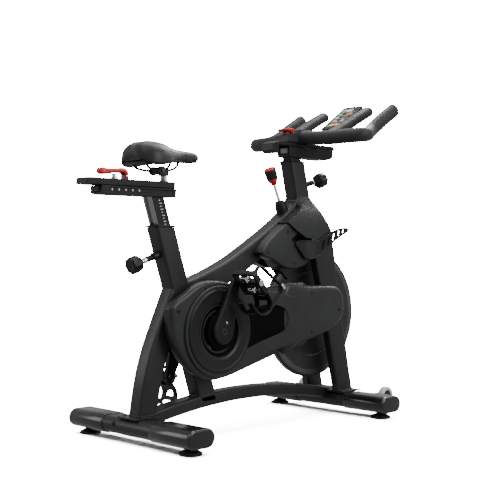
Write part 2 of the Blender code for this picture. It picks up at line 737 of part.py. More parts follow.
bar_carriage = prism(
    "bar_carriage",
    [(0.150, 0.9750), (0.447, 0.9750), (0.440, 1.0010), (0.160, 1.0010), (0.150, 0.992)],
    -0.030,
    0.030,
    BLACK_PLASTIC,
    PARTS,
)
bevel(bar_carriage, 0.003)
join(
    bar_carriage,
    [
        block("bar_runner", (0.216, -RUNNER_HALF_W, 0.9595), (0.420, RUNNER_HALF_W, 0.980)),
        rod("bar_end_boss", Vector((0.0, 0.0, 0.9800)), X, 0.015, 0.134, 0.165, steps=20),
    ],
)
origin_at(bar_carriage, Vector((0.30, 0.0, 0.9750)))


def bar_line():
    """The handlebar's centre line from the right tip to the left tip."""
    half = [Vector((x, -y, z)) for x, y, z in BAR_POINTS]
    return smooth_path([*half, BAR_CENTRE, *reversed(mirrored(half))], 2)


def aero_line(side):
    """One inner bar, from inside the crossbar to its raised tip."""
    points = ((0.296, 0.104, 1.024), (0.345, 0.106, 1.030), (0.420, 0.108, 1.062), (0.500, 0.110, 1.104), (0.570, 0.110, 1.138))
    return smooth_path([Vector((x, side * y, z)) for x, y, z in points], 2)


def bar_shapes(extra=0.0):
    """The bar's section at each point: an oval that is flatter under the stem cover."""
    made = []
    for point in bar_line():
        flat = max(0.0, min(1.0, (0.13 - abs(point.y)) / 0.08))
        made.append(oval(BAR_HALF_H - 0.0112 * flat + extra, BAR_HALF_W + extra, 10))
    return made


handlebar = sweep("handlebar", bar_line(), bar_shapes(), Z, GRIP_RUBBER)
for hand, side in (("right", -1), ("left", 1)):
    line = aero_line(side)
    shapes = [oval(0.021 + 0.003 * min(1.0, k / 6), 0.0145, 10) for k in range(len(line))]
    join(handlebar, [sweep("aero_" + hand, line, shapes, Y, None, CUTTERS)])
origin_at(handlebar, BAR_CENTRE)

stem_cover = prism(
    "stem_cover",
    [
        (0.200, 1.0015),
        (0.306, 1.0015),
        (0.306, 1.0400),
        (0.292, 1.0475),
        (0.262, 1.0475),
        (0.254, 1.0330),
        (0.214, 1.0300),
        (0.204, 1.0240),
    ],
    -0.037,
    0.037,
    COVER_PLASTIC,
    PARTS,
)
bevel(stem_cover, 0.002)
grown_bar = sweep("bar_clearance", bar_line(), bar_shapes(0.0007), Z, None, CUTTERS)
boolean(stem_cover, [grown_bar])
join(
    stem_cover,
    [
        block("bar_lever_ear", (0.2342, -0.0095, 1.0260), (0.2458, 0.0095, 1.0420)),
        rod("bar_lever_ear_top", BAR_LEVER_PIVOT, Y, 0.0058, -0.0095, 0.0095),
        rod("bar_lever_pin", BAR_LEVER_PIVOT, Y, 0.003, -0.0150, 0.0150),
    ],
)

lever_outline = arc(BAR_LEVER_PIVOT.x, BAR_LEVER_PIVOT.z, 0.0085, -90, 75, 7)
lever_outline += [(0.226, 1.0520), (0.206, 1.0500), (0.199, 1.0455), (0.203, 1.0425), (0.228, 1.0420)]
bar_lever = prism("bar_lever", lever_outline, -0.033, 0.033, RED_PLASTIC, PARTS)
boolean(
    bar_lever,
    [
        block("bar_lever_slot", (0.2250, -0.0099, 1.0220), (0.2600, 0.0099, 1.0483)),
        rod("bar_lever_bore", BAR_LEVER_PIVOT, Y, 0.003 + RUNNING, -0.05, 0.05),
    ],
)
origin_at(bar_lever, BAR_LEVER_PIVOT)

CONSOLE_PLACE = Matrix.Translation(CONSOLE_MID) @ Matrix.Rotation(-CONSOLE_TILT, 4, "Y")
console = block("console", (-0.087, -0.047, -0.007), (0.087, 0.047, 0.006), BLACK_PLASTIC, PARTS)
bevel(console, 0.003)
console.matrix_world = CONSOLE_PLACE
grown_console = block("console_clearance", (-0.0873, -0.0473, -0.0073), (0.0873, 0.0473, 0.0063))
grown_console.matrix_world = CONSOLE_PLACE
mount_points = ((0.3075, 1.022), (0.360, 1.031), (0.430, 1.044), (0.480, 1.060), (0.505, 1.080))
mount_line = smooth_path([Vector((x, 0.0, z)) for x, z in mount_points], 3)
console_mount = sweep("console_mount", mount_line, rounded_rect(0.016, 0.006, 0.003, 2), Y, BLACK_PLASTIC)
boolean(console_mount, [grown_bar, grown_console])

# ---------------------------------------------------------------- cranks and pedals
def arm_outline(tip, hub_r, tip_r):
    """The hull of a hub circle and a pedal eye, as (x, z) points."""
    way = math.degrees(math.atan2(tip.z - CRANK.z, tip.x - CRANK.x))
    spread = math.degrees(math.acos((hub_r - tip_r) / CRANK_LENGTH))
    hub = arc(CRANK.x, CRANK.z, hub_r, way + spread, way + 360 - spread, 14)
    return hub + arc(tip.x, tip.z, tip_r, way - spread, way + spread, 7)


def crank_arm(name, tip, side):
    """A tapered arm with a wide round hub that sits inside the cover's opening."""
    inner = side * CRANK_INNER_Y
    outer = side * (CRANK_INNER_Y + CRANK_THICK)
    made = dome_plate(name, arm_outline(tip, 0.044, 0.0165), inner, outer, 0.005, BLACK_PLASTIC)
    low, high = sorted((side * 0.0841, side * (CRANK_INNER_Y + 0.004)))
    join(made, [rod(name + "_hub", CRANK, Y, 0.062, low, high, steps=32)])
    return origin_at(made, CRANK)


crank_axle = rod("crank_axle", CRANK, Y, AXLE_R, -0.0838, 0.0838, STEEL, PARTS, steps=32)
origin_at(crank_axle, CRANK)
crank_arm("crank_right", RIGHT_PEDAL, -1)
crank_arm("crank_left", LEFT_PEDAL, 1)

pulley_half = [(AXLE_R + GAP, 0.0075), (PULLEY_R, 0.0075)]
pulley_profile = pulley_half + [(r, -h) for r, h in reversed(pulley_half)]
origin_at(lathe("drive_pulley", pulley_profile, CRANK - Y * BELT_Y, Y, ALUMINIUM, steps=28, ring=True), CRANK)


def pedal(hand, centre, side):
    """A platform pedal with a toe cage. Its body is pitched about the pedal's own axle."""
    start = side * (CRANK_INNER_Y + CRANK_THICK + GAP)
    low, high = sorted((start, side * 0.224))
    axle = rod(f"pedal_axle_{hand}", Vector((centre.x, 0, centre.z)), Y, 0.006, low, high, STEEL, PARTS)
    origin_at(axle, CRANK)
    y0, y1 = sorted((side * 0.1200, side * 0.2220))
    flat = [(-0.045, -0.010), (0.045, -0.010), (0.047, 0.0), (0.045, 0.010), (-0.045, 0.010), (-0.047, 0.0)]
    body = prism(f"pedal_body_{hand}", flat, y0, y1, BLACK_PLASTIC, PARTS)
    bevel(body, 0.002)
    for k, (near, far) in enumerate(((-0.038, -0.012), (0.012, 0.038))):
        window = block(f"pedal_window_{hand}{k}", (near, y0 + 0.010, -0.03), (far, y1 - 0.010, 0.03))
        boolean(body, [window])
    bore = rod(f"pedal_bore_{hand}", Vector((0, 0, 0)), Y, 0.006 + RUNNING, -0.25, 0.25)
    boolean(body, [bore])
    mid = (y0 + y1) / 2
    line = [
        Vector((0.047, mid, 0.012)),
        Vector((0.085, mid, 0.006)),
        Vector((0.104, mid, -0.014)),
        Vector((0.100, mid, -0.044)),
        Vector((0.072, mid, -0.062)),
        Vector((0.036, mid, -0.060)),
    ]
    widths = (0.030, 0.030, 0.028, 0.024, 0.022, 0.018)
    shapes = [rounded_rect(w, 0.0016, 0.001, 2) for w in widths]
    cage = sweep(f"pedal_cage_{hand}", line, shapes, Y, BLACK_PLASTIC)
    lug = block(f"cage_lug_{hand}", (0.0150, mid - 0.025, 0.0103), (0.052, mid + 0.025, 0.0145))
    join(cage, [lug])
    turn = Matrix.Rotation(-PEDAL_PITCH, 4, "Y")
    place = Matrix.Translation(Vector((centre.x, 0.0, centre.z)))
    for piece in (body, cage, *[m.object for m in body.modifiers if m.type == "BOOLEAN"], lug):
        piece.matrix_world = place @ turn
    return body


pedal("right", RIGHT_PEDAL, -1)
pedal("left", LEFT_PEDAL, 1)

# ---------------------------------------------------------------- flywheel, belt and brake
wheel_half = [
    (WHEEL_AXLE_R + RUNNING, 0.052),
    (0.020, 0.052),
    (0.026, 0.020),
    (0.060, 0.007),
    (0.154, 0.007),
    (0.160, WHEEL_HALF_W),
    (WHEEL_R, WHEEL_HALF_W),
]
flywheel = lathe("flywheel", wheel_half + [(r, -h) for r, h in reversed(wheel_half)], WHEEL, Y, CAST_IRON, steps=44, ring=True)
join(flywheel, [lathe("wheel_pulley", [(0.012, -0.0505), (0.028, -0.0505), (0.028, -0.0355), (0.012, -0.0355)], WHEEL, Y, None, CUTTERS, 24, True)])
origin_at(flywheel, WHEEL)

flywheel_axle = rod("flywheel_axle", WHEEL, Y, WHEEL_AXLE_R, -0.0905, 0.0980, STEEL, PARTS, steps=24)

small = 0.028 + GAP
large = PULLEY_R + GAP
run = Vector((WHEEL.x - CRANK.x, WHEEL.z - CRANK.z))
slope = math.degrees(math.atan2(run.y, run.x))
lap = math.degrees(math.acos((large - small) / run.length))


def belt_loop(grow):
    """The loop around both pulleys."""
    front = arc(WHEEL.x, WHEEL.z, small + grow, slope - lap, slope + lap, 12)
    back = arc(CRANK.x, CRANK.z, large + grow, slope + lap, slope + 360 - lap, 25)
    return front + back


belt = prism("drive_belt", belt_loop(BELT_THICK), -BELT_Y - BELT_HALF_W, -BELT_Y + BELT_HALF_W, RUBBER, PARTS)
boolean(belt, [prism("belt_inside", belt_loop(0.0), -0.06, -0.03)])

yoke_outline = arc(WHEEL.x, WHEEL.z, 0.262, 98, 128, 8)
yoke_outline += arc(BRAKE_PIVOT.x, BRAKE_PIVOT.z, 0.012, 60, 250, 8)
yoke_outline += arc(WHEEL.x, WHEEL.z, 0.192, 138, 98, 8)
brake_yoke = prism("brake_yoke", yoke_outline, -0.0205, 0.0205, STEEL, PARTS)
boolean(
    brake_yoke,
    [
        rod("yoke_slot", WHEEL, Y, 0.250, -0.0145, 0.0145, steps=48),
        rod("yoke_bore", BRAKE_PIVOT, Y, 0.006 + RUNNING, -0.03, 0.03),
    ],
)
origin_at(brake_yoke, BRAKE_PIVOT)

socket_profile = [(0.0125, -0.060), (0.0175, -0.060), (0.0175, -0.006), (0.0145, 0.0), (0.008, 0.0), (0.008, -0.004), (0.0125, -0.004)]
socket = lathe("brake_socket", socket_profile, BRAKE_TOP, BRAKE_UP, BLACK_PLASTIC, steps=20, ring=True)
boolean(socket, [beam("beam_clearance", GAP)])
nut_profile = [(0.0046, -0.023), (0.0122, -0.023), (0.0122, -0.010), (0.0046, -0.010)]
origin_at(lathe("brake_nut", nut_profile, BRAKE_TOP, BRAKE_UP, STEEL, steps=16, ring=True), BRAKE_TOP)
origin_at(rod("brake_rod", BRAKE_TOP, BRAKE_UP, 0.0045, -0.166, 0.0615, STEEL, PARTS, steps=16), BRAKE_TOP)
grip_profile = [
    (0, 0.062),
    (0.0065, 0.062),
    (0.0165, 0.084),
    (0.0175, 0.086),
    (0.0185, 0.120),
    (0.0180, 0.1255),
    (0.0160, 0.1285),
    (0, 0.1290),
]
origin_at(lathe("brake_grip", grip_profile, BRAKE_TOP, BRAKE_UP, RED_PLASTIC, steps=20), BRAKE_TOP)

# ---------------------------------------------------------------- covers
COVER_LINE = smooth_loop(
    [
        (0.262, 0.288),
        (0.262, 0.478),
        (0.110, 0.480),
        (-0.060, 0.488),
        (-0.180, 0.508),
        (-0.262, 0.504),
        (-0.330, 0.468),
        (-0.384, 0.436),
        (-0.391, 0.400),
        (-0.374, 0.314),
        (-0.318, 0.230),
        (-0.234, 0.185),
        (-0.148, 0.186),
        (-0.029, 0.214),
        (0.120, 0.252),
    ],
    2,
)
LOBE_LINE = smooth_loop(
    [
        (0.105, 0.256),
        (0.200, 0.278),
        (0.300, 0.298),
        (0.376, 0.320),
        (0.428, 0.362),
        (0.437, 0.412),
        (0.424, 0.456),
        (0.380, 0.478),
        (0.250, 0.482),
        (0.105, 0.480),
    ],
    2,
)


LEFT_LINE = smooth_loop(
    [
        (0.262, 0.302),
        (0.262, 0.456),
        (0.110, 0.466),
        (-0.050, 0.458),
        (-0.180, 0.442),
        (-0.258, 0.410),
        (-0.286, 0.342),
        (-0.258, 0.274),
        (-0.180, 0.242),
        (-0.029, 0.252),
        (0.120, 0.276),
    ],
    2,
)


def side_cover(name, side, outline):
    """An open-backed moulded shell beside the frame."""
    rings = []
    for depth, y in ((0.0, 0.0315), (0.0, 0.074), (0.008, 0.083)):
        rings.append([Vector((x, side * y, z)) for x, z in inset(outline, depth)])
    made = loft(name, rings, COVER_PLASTIC)
    pocket = prism(name + "_pocket", inset(outline, 0.004), *sorted((side * 0.025, side * 0.0752)))
    boolean(made, [pocket])
    return made


TEARDROP = arc(CRANK.x, CRANK.z, 0.150, 75, 290, 19)
TEARDROP += [(0.020, 0.240), (0.100, 0.262), *arc(0.135, 0.352, 0.086, -70, 60, 9), (0.090, 0.440), (-0.020, 0.478)]

guard_right = side_cover("guard_right", -1, COVER_LINE)
step_line = [(x, z) for x, z in inset(LOBE_LINE, 0.002) if x < 0.292]
join(
    guard_right,
    [
        prism("lobe_step", step_line, -0.0790, -0.0940),
        dome_plate("lobe_plate", LOBE_LINE, -0.0912, -0.1080, 0.010, None, CUTTERS),
    ],
)
boolean(guard_right, [leg("leg_clearance", -1, 0.0010, None, CUTTERS)])
boolean(guard_right, [prism("plate_clearance", inset(TEARDROP, -0.0008), -0.1200, -0.0830)])
boolean(guard_right, [block("belt_way", (0.215, -0.0560, 0.308), (0.330, -0.0200, 0.430))])
boolean(guard_right, [rod("guard_hole_right", CRANK, Y, 0.066, -0.2, 0.0, steps=32)])

guard_left = side_cover("guard_left", 1, LEFT_LINE)
boolean(guard_left, [rod("guard_hole_left", CRANK, Y, 0.066, 0.0, 0.2, steps=32)])

plate = prism("guard_plate", TEARDROP, -0.0833, -0.0870, COVER_PLASTIC, PARTS)
disc = [(0.085, -0.0845), (0.138, -0.0845), (0.138, -0.0900), (0.136, -0.0915), (0.085, -0.0915)]
boolean(
    plate,
    [
        rod("plate_hole", CRANK, Y, 0.0848, -0.1, 0.0, steps=36),
        prism("plate_window", smooth_loop([(0.000, 0.305), (0.080, 0.340), (0.106, 0.375), (0.085, 0.410), (0.020, 0.410), (-0.030, 0.385)]), -0.1, -0.07),
    ],
)
join(plate, [lathe("plate_disc", disc, CRANK, Y, None, CUTTERS, 36, True)])

SHROUD_LINE = smooth_loop([(0.030, 0.607), (0.090, 0.572), (0.150, 0.548), (0.215, 0.545), (0.246, 0.580), (0.236, 0.650), (0.200, 0.696), (0.150, 0.694)], 2)
for hand, side in (("right", -1), ("left", 1)):
    shroud = dome_plate(f"side_shroud_{hand}", SHROUD_LINE, side * 0.0305, side * 0.0750, 0.012, COVER_PLASTIC)
    hollow = prism(f"shroud_hollow_{hand}", inset(SHROUD_LINE, 0.004), *sorted((side * 0.02, side * 0.0650)))
    boolean(shroud, [hollow])

wing_line = [
    Vector((0.190, -0.0780, 0.6180)),
    Vector((0.240, -0.0830, 0.6170)),
    Vector((0.285, -0.0950, 0.6200)),
    Vector((0.335, -0.0990, 0.6350)),
    Vector((0.375, -0.1020, 0.6600)),
    Vector((0.427, -0.1040, 0.6790)),
    Vector((0.462, -0.1020, 0.6860)),
]
wing_heights = (0.034, 0.036, 0.034, 0.027, 0.021, 0.013, 0.004)
wing_rings = []
for point, half in zip(wing_line, wing_heights):
    wing_rings.append(ring_at(point, Y, Z, [(0.0014, -half), (0.0014, half), (-0.0014, half), (-0.0014, -half)]))
loft("bottle_wing", wing_rings, COVER_PLASTIC)

# ---------------------------------------------------------------- whole bike about its origin
for piece in [*PARTS.objects, *CUTTERS.objects]:
    piece.location.x += SHIFT_X
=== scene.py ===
"""Looks of the exercise bike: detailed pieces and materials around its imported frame.

Points are stated as in the part: metres, X forward, Y to the rider's left, Z up, counted from
the middle of the four feet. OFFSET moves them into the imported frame.
"""

import math

import bmesh
import bpy
from mathutils import Matrix, Vector


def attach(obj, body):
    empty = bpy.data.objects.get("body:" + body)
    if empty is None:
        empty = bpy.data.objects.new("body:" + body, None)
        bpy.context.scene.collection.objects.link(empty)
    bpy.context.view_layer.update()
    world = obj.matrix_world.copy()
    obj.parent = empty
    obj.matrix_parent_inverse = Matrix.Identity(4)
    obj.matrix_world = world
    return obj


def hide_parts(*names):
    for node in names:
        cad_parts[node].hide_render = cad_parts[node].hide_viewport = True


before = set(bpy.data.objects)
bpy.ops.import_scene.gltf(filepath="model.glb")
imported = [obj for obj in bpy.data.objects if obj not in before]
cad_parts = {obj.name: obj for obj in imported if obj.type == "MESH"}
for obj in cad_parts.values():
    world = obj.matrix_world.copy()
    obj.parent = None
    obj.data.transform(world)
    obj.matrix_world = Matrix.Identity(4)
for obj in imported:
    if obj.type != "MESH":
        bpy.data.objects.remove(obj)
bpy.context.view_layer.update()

OFFSET = Vector((0.0276, 0.0, 0.0))
X = Vector((1.0, 0.0, 0.0))
Y = Vector((0.0, 1.0, 0.0))
Z = Vector((0.0, 0.0, 1.0))
HANDS = (("right", -1), ("left", 1))

FOOT_X, FOOT_Y, STAB_Z = 0.46, 0.2506, 0.052
STAB_HALF_X, STAB_HALF_Z = 0.052, 0.027
SEAT_LEAN, HEAD_LEAN = math.radians(18.0), math.radians(13.2)
SEAT_AXIS, HEAD_AXIS = Vector((-0.3435, 0.0, 0.61)), Vector((0.2745, 0.0, 0.865))
SEAT_TOP_Z, HEAD_TOP_Z = 0.682, 0.928
SEAT_UP = Vector((-math.sin(SEAT_LEAN), 0.0, math.cos(SEAT_LEAN)))
SEAT_BACK = Vector((-math.cos(SEAT_LEAN), 0.0, -math.sin(SEAT_LEAN)))
HEAD_UP = Vector((-math.sin(HEAD_LEAN), 0.0, math.cos(HEAD_LEAN)))
HEAD_FRONT = Vector((math.cos(HEAD_LEAN), 0.0, math.sin(HEAD_LEAN)))
SEAT_PIN_BASE = SEAT_AXIS - SEAT_UP * 0.005
HEAD_PIN_BASE = HEAD_AXIS - HEAD_UP * 0.026
TUBE = (0.0365, 0.03, 0.009)
POST = (0.028, 0.022, 0.006)  # as TUBE: half depth, half width and corner radius
CRANK, CRANK_LENGTH, CRANK_ANGLE = Vector((-0.188, 0.0, 0.342)), 0.17, math.radians(70.0)
CRANK_INNER_Y = 0.0945
RIGHT_PEDAL = CRANK + X * (CRANK_LENGTH * math.cos(CRANK_ANGLE)) + Z * (CRANK_LENGTH * math.sin(CRANK_ANGLE))
LEFT_PEDAL = CRANK * 2 - RIGHT_PEDAL
PEDAL_PITCH = math.radians(-48.0)
WHEEL = Vector((0.357, 0.0, 0.374))
LEG_Y = 0.073
BRAKE_TOP = Vector((0.19, 0.0, 0.785))
BRAKE_UP = Vector((-0.404, 0.0, 0.915)).normalized()
BRAKE_PIVOT = Vector((0.125, 0.0, 0.588))
SADDLE_PIVOT = Vector((-0.38, 0.0, 0.863))
SEAT_LEVER_PIVOT = Vector((-0.512, 0.0, 0.839))
BAR_LEVER_PIVOT = Vector((0.24, 0.0, 1.042))
ARCH_TOP, ARCH_FALL = 0.116, 0.24  # the arched base's height is ARCH_TOP - ARCH_FALL * x^2
BORE_PLAY = 0.0006  # room round the posts
BORE_R = 0.066  # hole in both covers round the crank's boss
COVER_SLOPE = 0.0205  # how far the drive cover leans outwards towards the front
LOBE_STEP_END = 0.292  # where the step behind the cover's front lobe stops
BELT_BIG_R, BELT_SMALL_R = 0.1003, 0.0283
MAX_PUFF = 0.0026  # how far the cloth may move from the modelled cushion
BEVEL_FROM = math.radians(28.0)
PEDAL_HALF, CONSOLE_HALF = (0.047, 0.051), (0.087, 0.047)
CONSOLE_MID, CONSOLE_TILT = Vector((0.5465, 0.0, 1.1175)), math.radians(34.7)

# ---- camera, floor and light
camera = bpy.data.objects.new("camera", bpy.data.cameras.new("camera"))
bpy.context.scene.collection.objects.link(camera)
camera.location = OFFSET + Vector((-2.4066, -2.4472, 0.609))
camera.rotation_euler = (math.radians(90.0), 0.0, math.radians(-45.0))
camera.data.sensor_width = 36.0
camera.data.lens = 70.95
camera.data.clip_end = 60.0
bpy.context.scene.camera = camera

world = bpy.data.worlds.new("studio")
world.use_nodes = True
bpy.context.scene.world = world
seen = world.node_tree.nodes["Background"]
seen.inputs["Color"].default_value = (1.0, 1.0, 1.0, 1.0)
seen.inputs["Strength"].default_value = 40.0
ambient = world.node_tree.nodes.new("ShaderNodeBackground")
ambient.inputs["Color"].default_value = (1.0, 1.0, 1.0, 1.0)
ambient.inputs["Strength"].default_value = 0.46
rays = world.node_tree.nodes.new("ShaderNodeLightPath")
blend = world.node_tree.nodes.new("ShaderNodeMixShader")
world.node_tree.links.new(rays.outputs["Is Camera Ray"], blend.inputs["Fac"])
world.node_tree.links.new(ambient.outputs["Background"], blend.inputs[1])
world.node_tree.links.new(seen.outputs["Background"], blend.inputs[2])
world.node_tree.links.new(blend.outputs["Shader"], world.node_tree.nodes["World Output"].inputs["Surface"])


def softbox(name, place, target, size, power):
    """A rectangular area light aimed at a point."""
    data = bpy.data.lights.new(name, "AREA")
    data.shape = "RECTANGLE"
    data.size, data.size_y = size
    data.energy = power
    lamp = bpy.data.objects.new(name, data)
    lamp.location = place
    lamp.rotation_euler = (Vector(target) - Vector(place)).to_track_quat("-Z", "Y").to_euler()
    bpy.context.scene.collection.objects.link(lamp)
    return lamp


softbox("key_light", (-2.2, -0.6, 2.9), (0.0, 0.0, 0.5), (1.6, 1.2), 30.0)
softbox("front_light", (0.9, -3.2, 2.0), (0.0, 0.0, 0.6), (2.0, 2.0), 85.0)
softbox("edge_light", (2.3, 0.5, 2.6), (0.0, 0.0, 0.5), (1.4, 1.4), 90.0)
softbox("top_light", (0.4, 0.2, 3.2), (0.0, 0.0, 0.5), (2.6, 1.6), 70.0)
softbox("rim_light", (-2.6, 2.4, 1.6), (0.0, 0.0, 0.6), (1.2, 1.8), 20.0)
wash = bpy.data.objects.new("floor_wash", bpy.data.lights.new("floor_wash", "SUN"))
wash.data.energy, wash.data.angle = 130.0, math.radians(80.0)
bpy.context.scene.collection.objects.link(wash)


# ---- procedural materials
def surface(name, colour, rough, metal=0.0, grain=(700.0, 0.06), vary=0.14, spread=0.07, stretch=None,
    coat=0.0, sheen=0.0, cells=None, gloss=0.25):
    """A node material: colour that drifts a little, roughness that drifts, and a fine grain in the bump."""
    made = bpy.data.materials.new(name)
    made.use_nodes = True
    nodes, links = made.node_tree.nodes, made.node_tree.links
    shader = nodes["Principled BSDF"]
    shader.inputs["Metallic"].default_value = metal
    shader.inputs["Specular IOR Level"].default_value = 0.5 if metal else gloss
    shader.inputs["Coat Weight"].default_value = coat
    shader.inputs["Coat Roughness"].default_value = 0.18
    shader.inputs["Sheen Weight"].default_value = sheen
    place = nodes.new("ShaderNodeTexCoord")
    mapping = nodes.new("ShaderNodeMapping")
    mapping.inputs["Scale"].default_value = stretch or (1.0, 1.0, 1.0)
    links.new(place.outputs["Object"], mapping.inputs["Vector"])

    def cloud(scale, detail):
        """A noise over the mapped place."""
        made_noise = nodes.new("ShaderNodeTexNoise")
        made_noise.inputs["Scale"].default_value = scale
        made_noise.inputs["Detail"].default_value = detail
        links.new(mapping.outputs[0], made_noise.inputs["Vector"])
        return made_noise.outputs["Fac"]

    drift = cloud(9.0, 4.0)
    ramp = nodes.new("ShaderNodeValToRGB")
    dark = [c * (1 - vary) for c in colour]
    light = [min(1.0, c * (1 + vary)) for c in colour]
    ramp.color_ramp.elements[0].position = 0.35
    ramp.color_ramp.elements[1].position = 0.68
    ramp.color_ramp.elements[0].color = (*dark, 1.0)
    ramp.color_ramp.elements[1].color = (*light, 1.0)
    links.new(drift, ramp.inputs["Fac"])
    links.new(ramp.outputs["Color"], shader.inputs["Base Color"])
    span = nodes.new("ShaderNodeMapRange")
    span.inputs["To Min"].default_value = max(0.04, rough - spread)
    span.inputs["To Max"].default_value = min(1.0, rough + spread)
    links.new(cloud(55.0, 5.0), span.inputs["Value"])
    links.new(span.outputs["Result"], shader.inputs["Roughness"])
    bump = nodes.new("ShaderNodeBump")
    bump.inputs["Strength"].default_value = grain[1] * 5
    bump.inputs["Distance"].default_value = 0.0003
    if cells:
        pores = nodes.new("ShaderNodeTexVoronoi")
        pores.feature = "DISTANCE_TO_EDGE"
        pores.inputs["Scale"].default_value = cells
        links.new(mapping.outputs["Vector"], pores.inputs["Vector"])
        links.new(pores.outputs["Distance"], bump.inputs["Height"])
    else:
        links.new(cloud(grain[0], 3.0), bump.inputs["Height"])
    links.new(bump.outputs["Normal"], shader.inputs["Normal"])
    return made


PAINT = surface("frame_paint", (0.013, 0.0133, 0.014), 0.4, grain=(1300.0, 0.1), coat=0.15)
COVER = surface("cover_plastic", (0.022, 0.0225, 0.0235), 0.36, grain=(1100.0, 0.05))
SLEEVE = surface("sleeve_plastic", (0.006, 0.0061, 0.0065), 0.22, grain=(500.0, 0.02), coat=0.3, gloss=0.5)
SATIN = surface("satin_plastic", (0.0075, 0.0077, 0.008), 0.36, grain=(1500.0, 0.06))
BLACK = surface("black_plastic", (0.0035, 0.0035, 0.0038), 0.5, grain=(900.0, 0.1))
# Near-black with almost no gloss: painted shade, a dark stand-in for the shade in the cover's window, the
# well round the crank and the crank's boss.
PAINTED_SHADE = surface("painted_shade_black", (0.0012, 0.0012, 0.0013), 0.7, grain=(900.0, 0.08), gloss=0.06)
RED = surface("red_plastic", (0.56, 0.008, 0.01), 0.3, grain=(600.0, 0.02), vary=0.08, coat=0.35)
RUBBER = surface("rubber", (0.01, 0.01, 0.0105), 0.62, grain=(800.0, 0.14))
GRIP = surface("grip_rubber", (0.017, 0.0173, 0.018), 0.5, cells=1500.0, grain=(0.0, 0.16), sheen=0.05)
LEATHER = surface("saddle_skin", (0.014, 0.014, 0.0145), 0.46, cells=900.0, grain=(0.0, 0.06), vary=0.05,
    sheen=0.08)
STEEL = surface("steel", (0.6, 0.6, 0.61), 0.24, metal=1.0, grain=(500.0, 0.04), vary=0.08)
CHROME = surface("bright_steel", (0.78, 0.78, 0.79), 0.14, metal=1.0, grain=(300.0, 0.02), vary=0.05,
    spread=0.04)
DARK_STEEL = surface("dark_steel", (0.055, 0.056, 0.058), 0.34, metal=1.0, grain=(600.0, 0.05))
ALLOY = surface("aluminium", (0.27, 0.273, 0.278), 0.3, metal=1.0, grain=(900.0, 0.12), vary=0.07,
    stretch=(1.0, 1.0, 0.03))
DARK_ALLOY = surface("dark_aluminium", (0.03, 0.0305, 0.0315), 0.34, metal=1.0, grain=(900.0, 0.08),
    stretch=(1.0, 1.0, 0.03))
IRON = surface("cast_iron", (0.034, 0.0345, 0.036), 0.34, metal=0.6, grain=(800.0, 0.1))
RIM = surface("machined_rim", (0.11, 0.112, 0.115), 0.3, metal=0.8, grain=(700.0, 0.05))
PALE = surface("wheel_grey", (0.56, 0.56, 0.55), 0.46, grain=(500.0, 0.05), vary=0.06)
WHITE = surface("print_white", (0.72, 0.72, 0.71), 0.5, grain=(900.0, 0.04), vary=0.05)
GLASS = surface("display_glass", (0.004, 0.004, 0.005), 0.1, grain=(200.0, 0.01), coat=0.5)
FLOOR = surface("floor", (0.86, 0.86, 0.855), 0.7, grain=(60.0, 0.01), vary=0.01)


def glowing(name, colour, strength):
    """A display segment: faintly uneven light of one colour."""
    made = surface(name, colour, 0.45, vary=0.05)
    shader = made.node_tree.nodes["Principled BSDF"]
    ramp = next(n for n in made.node_tree.nodes if n.type == "VALTORGB")
    made.node_tree.links.new(ramp.outputs["Color"], shader.inputs["Emission Color"])
    shader.inputs["Emission Strength"].default_value = strength
    return made


LIT_WHITE = glowing("segment_white", (0.85, 0.88, 0.9), 0.75)
LIT_GREEN = glowing("segment_green", (0.1, 0.75, 0.2), 0.6)
LIT_RED = glowing("segment_red", (0.85, 0.06, 0.05), 0.6)
LIT_AMBER = glowing("segment_amber", (0.9, 0.5, 0.05), 0.6)
SLOTS = {PAINT: "frame_paint", RED: "red_plastic", RUBBER: "rubber", GRIP: "grip_rubber",
    LEATHER: "saddle_skin"}
SLOTS |= dict.fromkeys((COVER, SLEEVE), "cover_plastic")
SLOTS |= dict.fromkeys((SATIN, BLACK, PAINTED_SHADE, GLASS, LIT_WHITE, LIT_GREEN, LIT_RED, LIT_AMBER), "black_plastic")
SLOTS |= dict.fromkeys((STEEL, CHROME, DARK_STEEL), "steel")
SLOTS |= dict.fromkeys((ALLOY, DARK_ALLOY), "aluminium")
SLOTS |= dict.fromkeys((IRON, RIM), "cast_iron")
SLOTS |= dict.fromkeys((PALE, WHITE), "wheel_grey")


# ---- modelling helpers
def apply_modifiers(obj):
    """Bakes an object's modifiers into its mesh."""
    graph = bpy.context.evaluated_depsgraph_get()
    baked = bpy.data.meshes.new_from_object(obj.evaluated_get(graph))
    obj.modifiers.clear()
    obj.data = baked


def modify(obj, kind, **settings):
    """Adds one modifier with its settings and bakes it."""
    step = obj.modifiers.new(kind.lower(), kind)
    for key, value in settings.items():
        setattr(step, key, value)
    apply_modifiers(obj)


def solid(name, bm):
    """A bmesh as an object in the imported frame, with its faces pointing out."""
    bmesh.ops.recalc_face_normals(bm, faces=bm.faces)
    bmesh.ops.translate(bm, vec=OFFSET, verts=bm.verts)
    mesh = bpy.data.meshes.new(name)
    bm.to_mesh(mesh)
    bm.free()
    made = bpy.data.objects.new(name, mesh)
    bpy.context.scene.collection.objects.link(made)
    return made


def dress(made, mat, body, stands=()):
    """Gives a finished mesh its material and its body, and hides the CAD nodes it stands for."""
    made.data.materials.clear()
    made.data.materials.append(mat)
    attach(made, body)
    if stands:
        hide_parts(*stands)
    return made


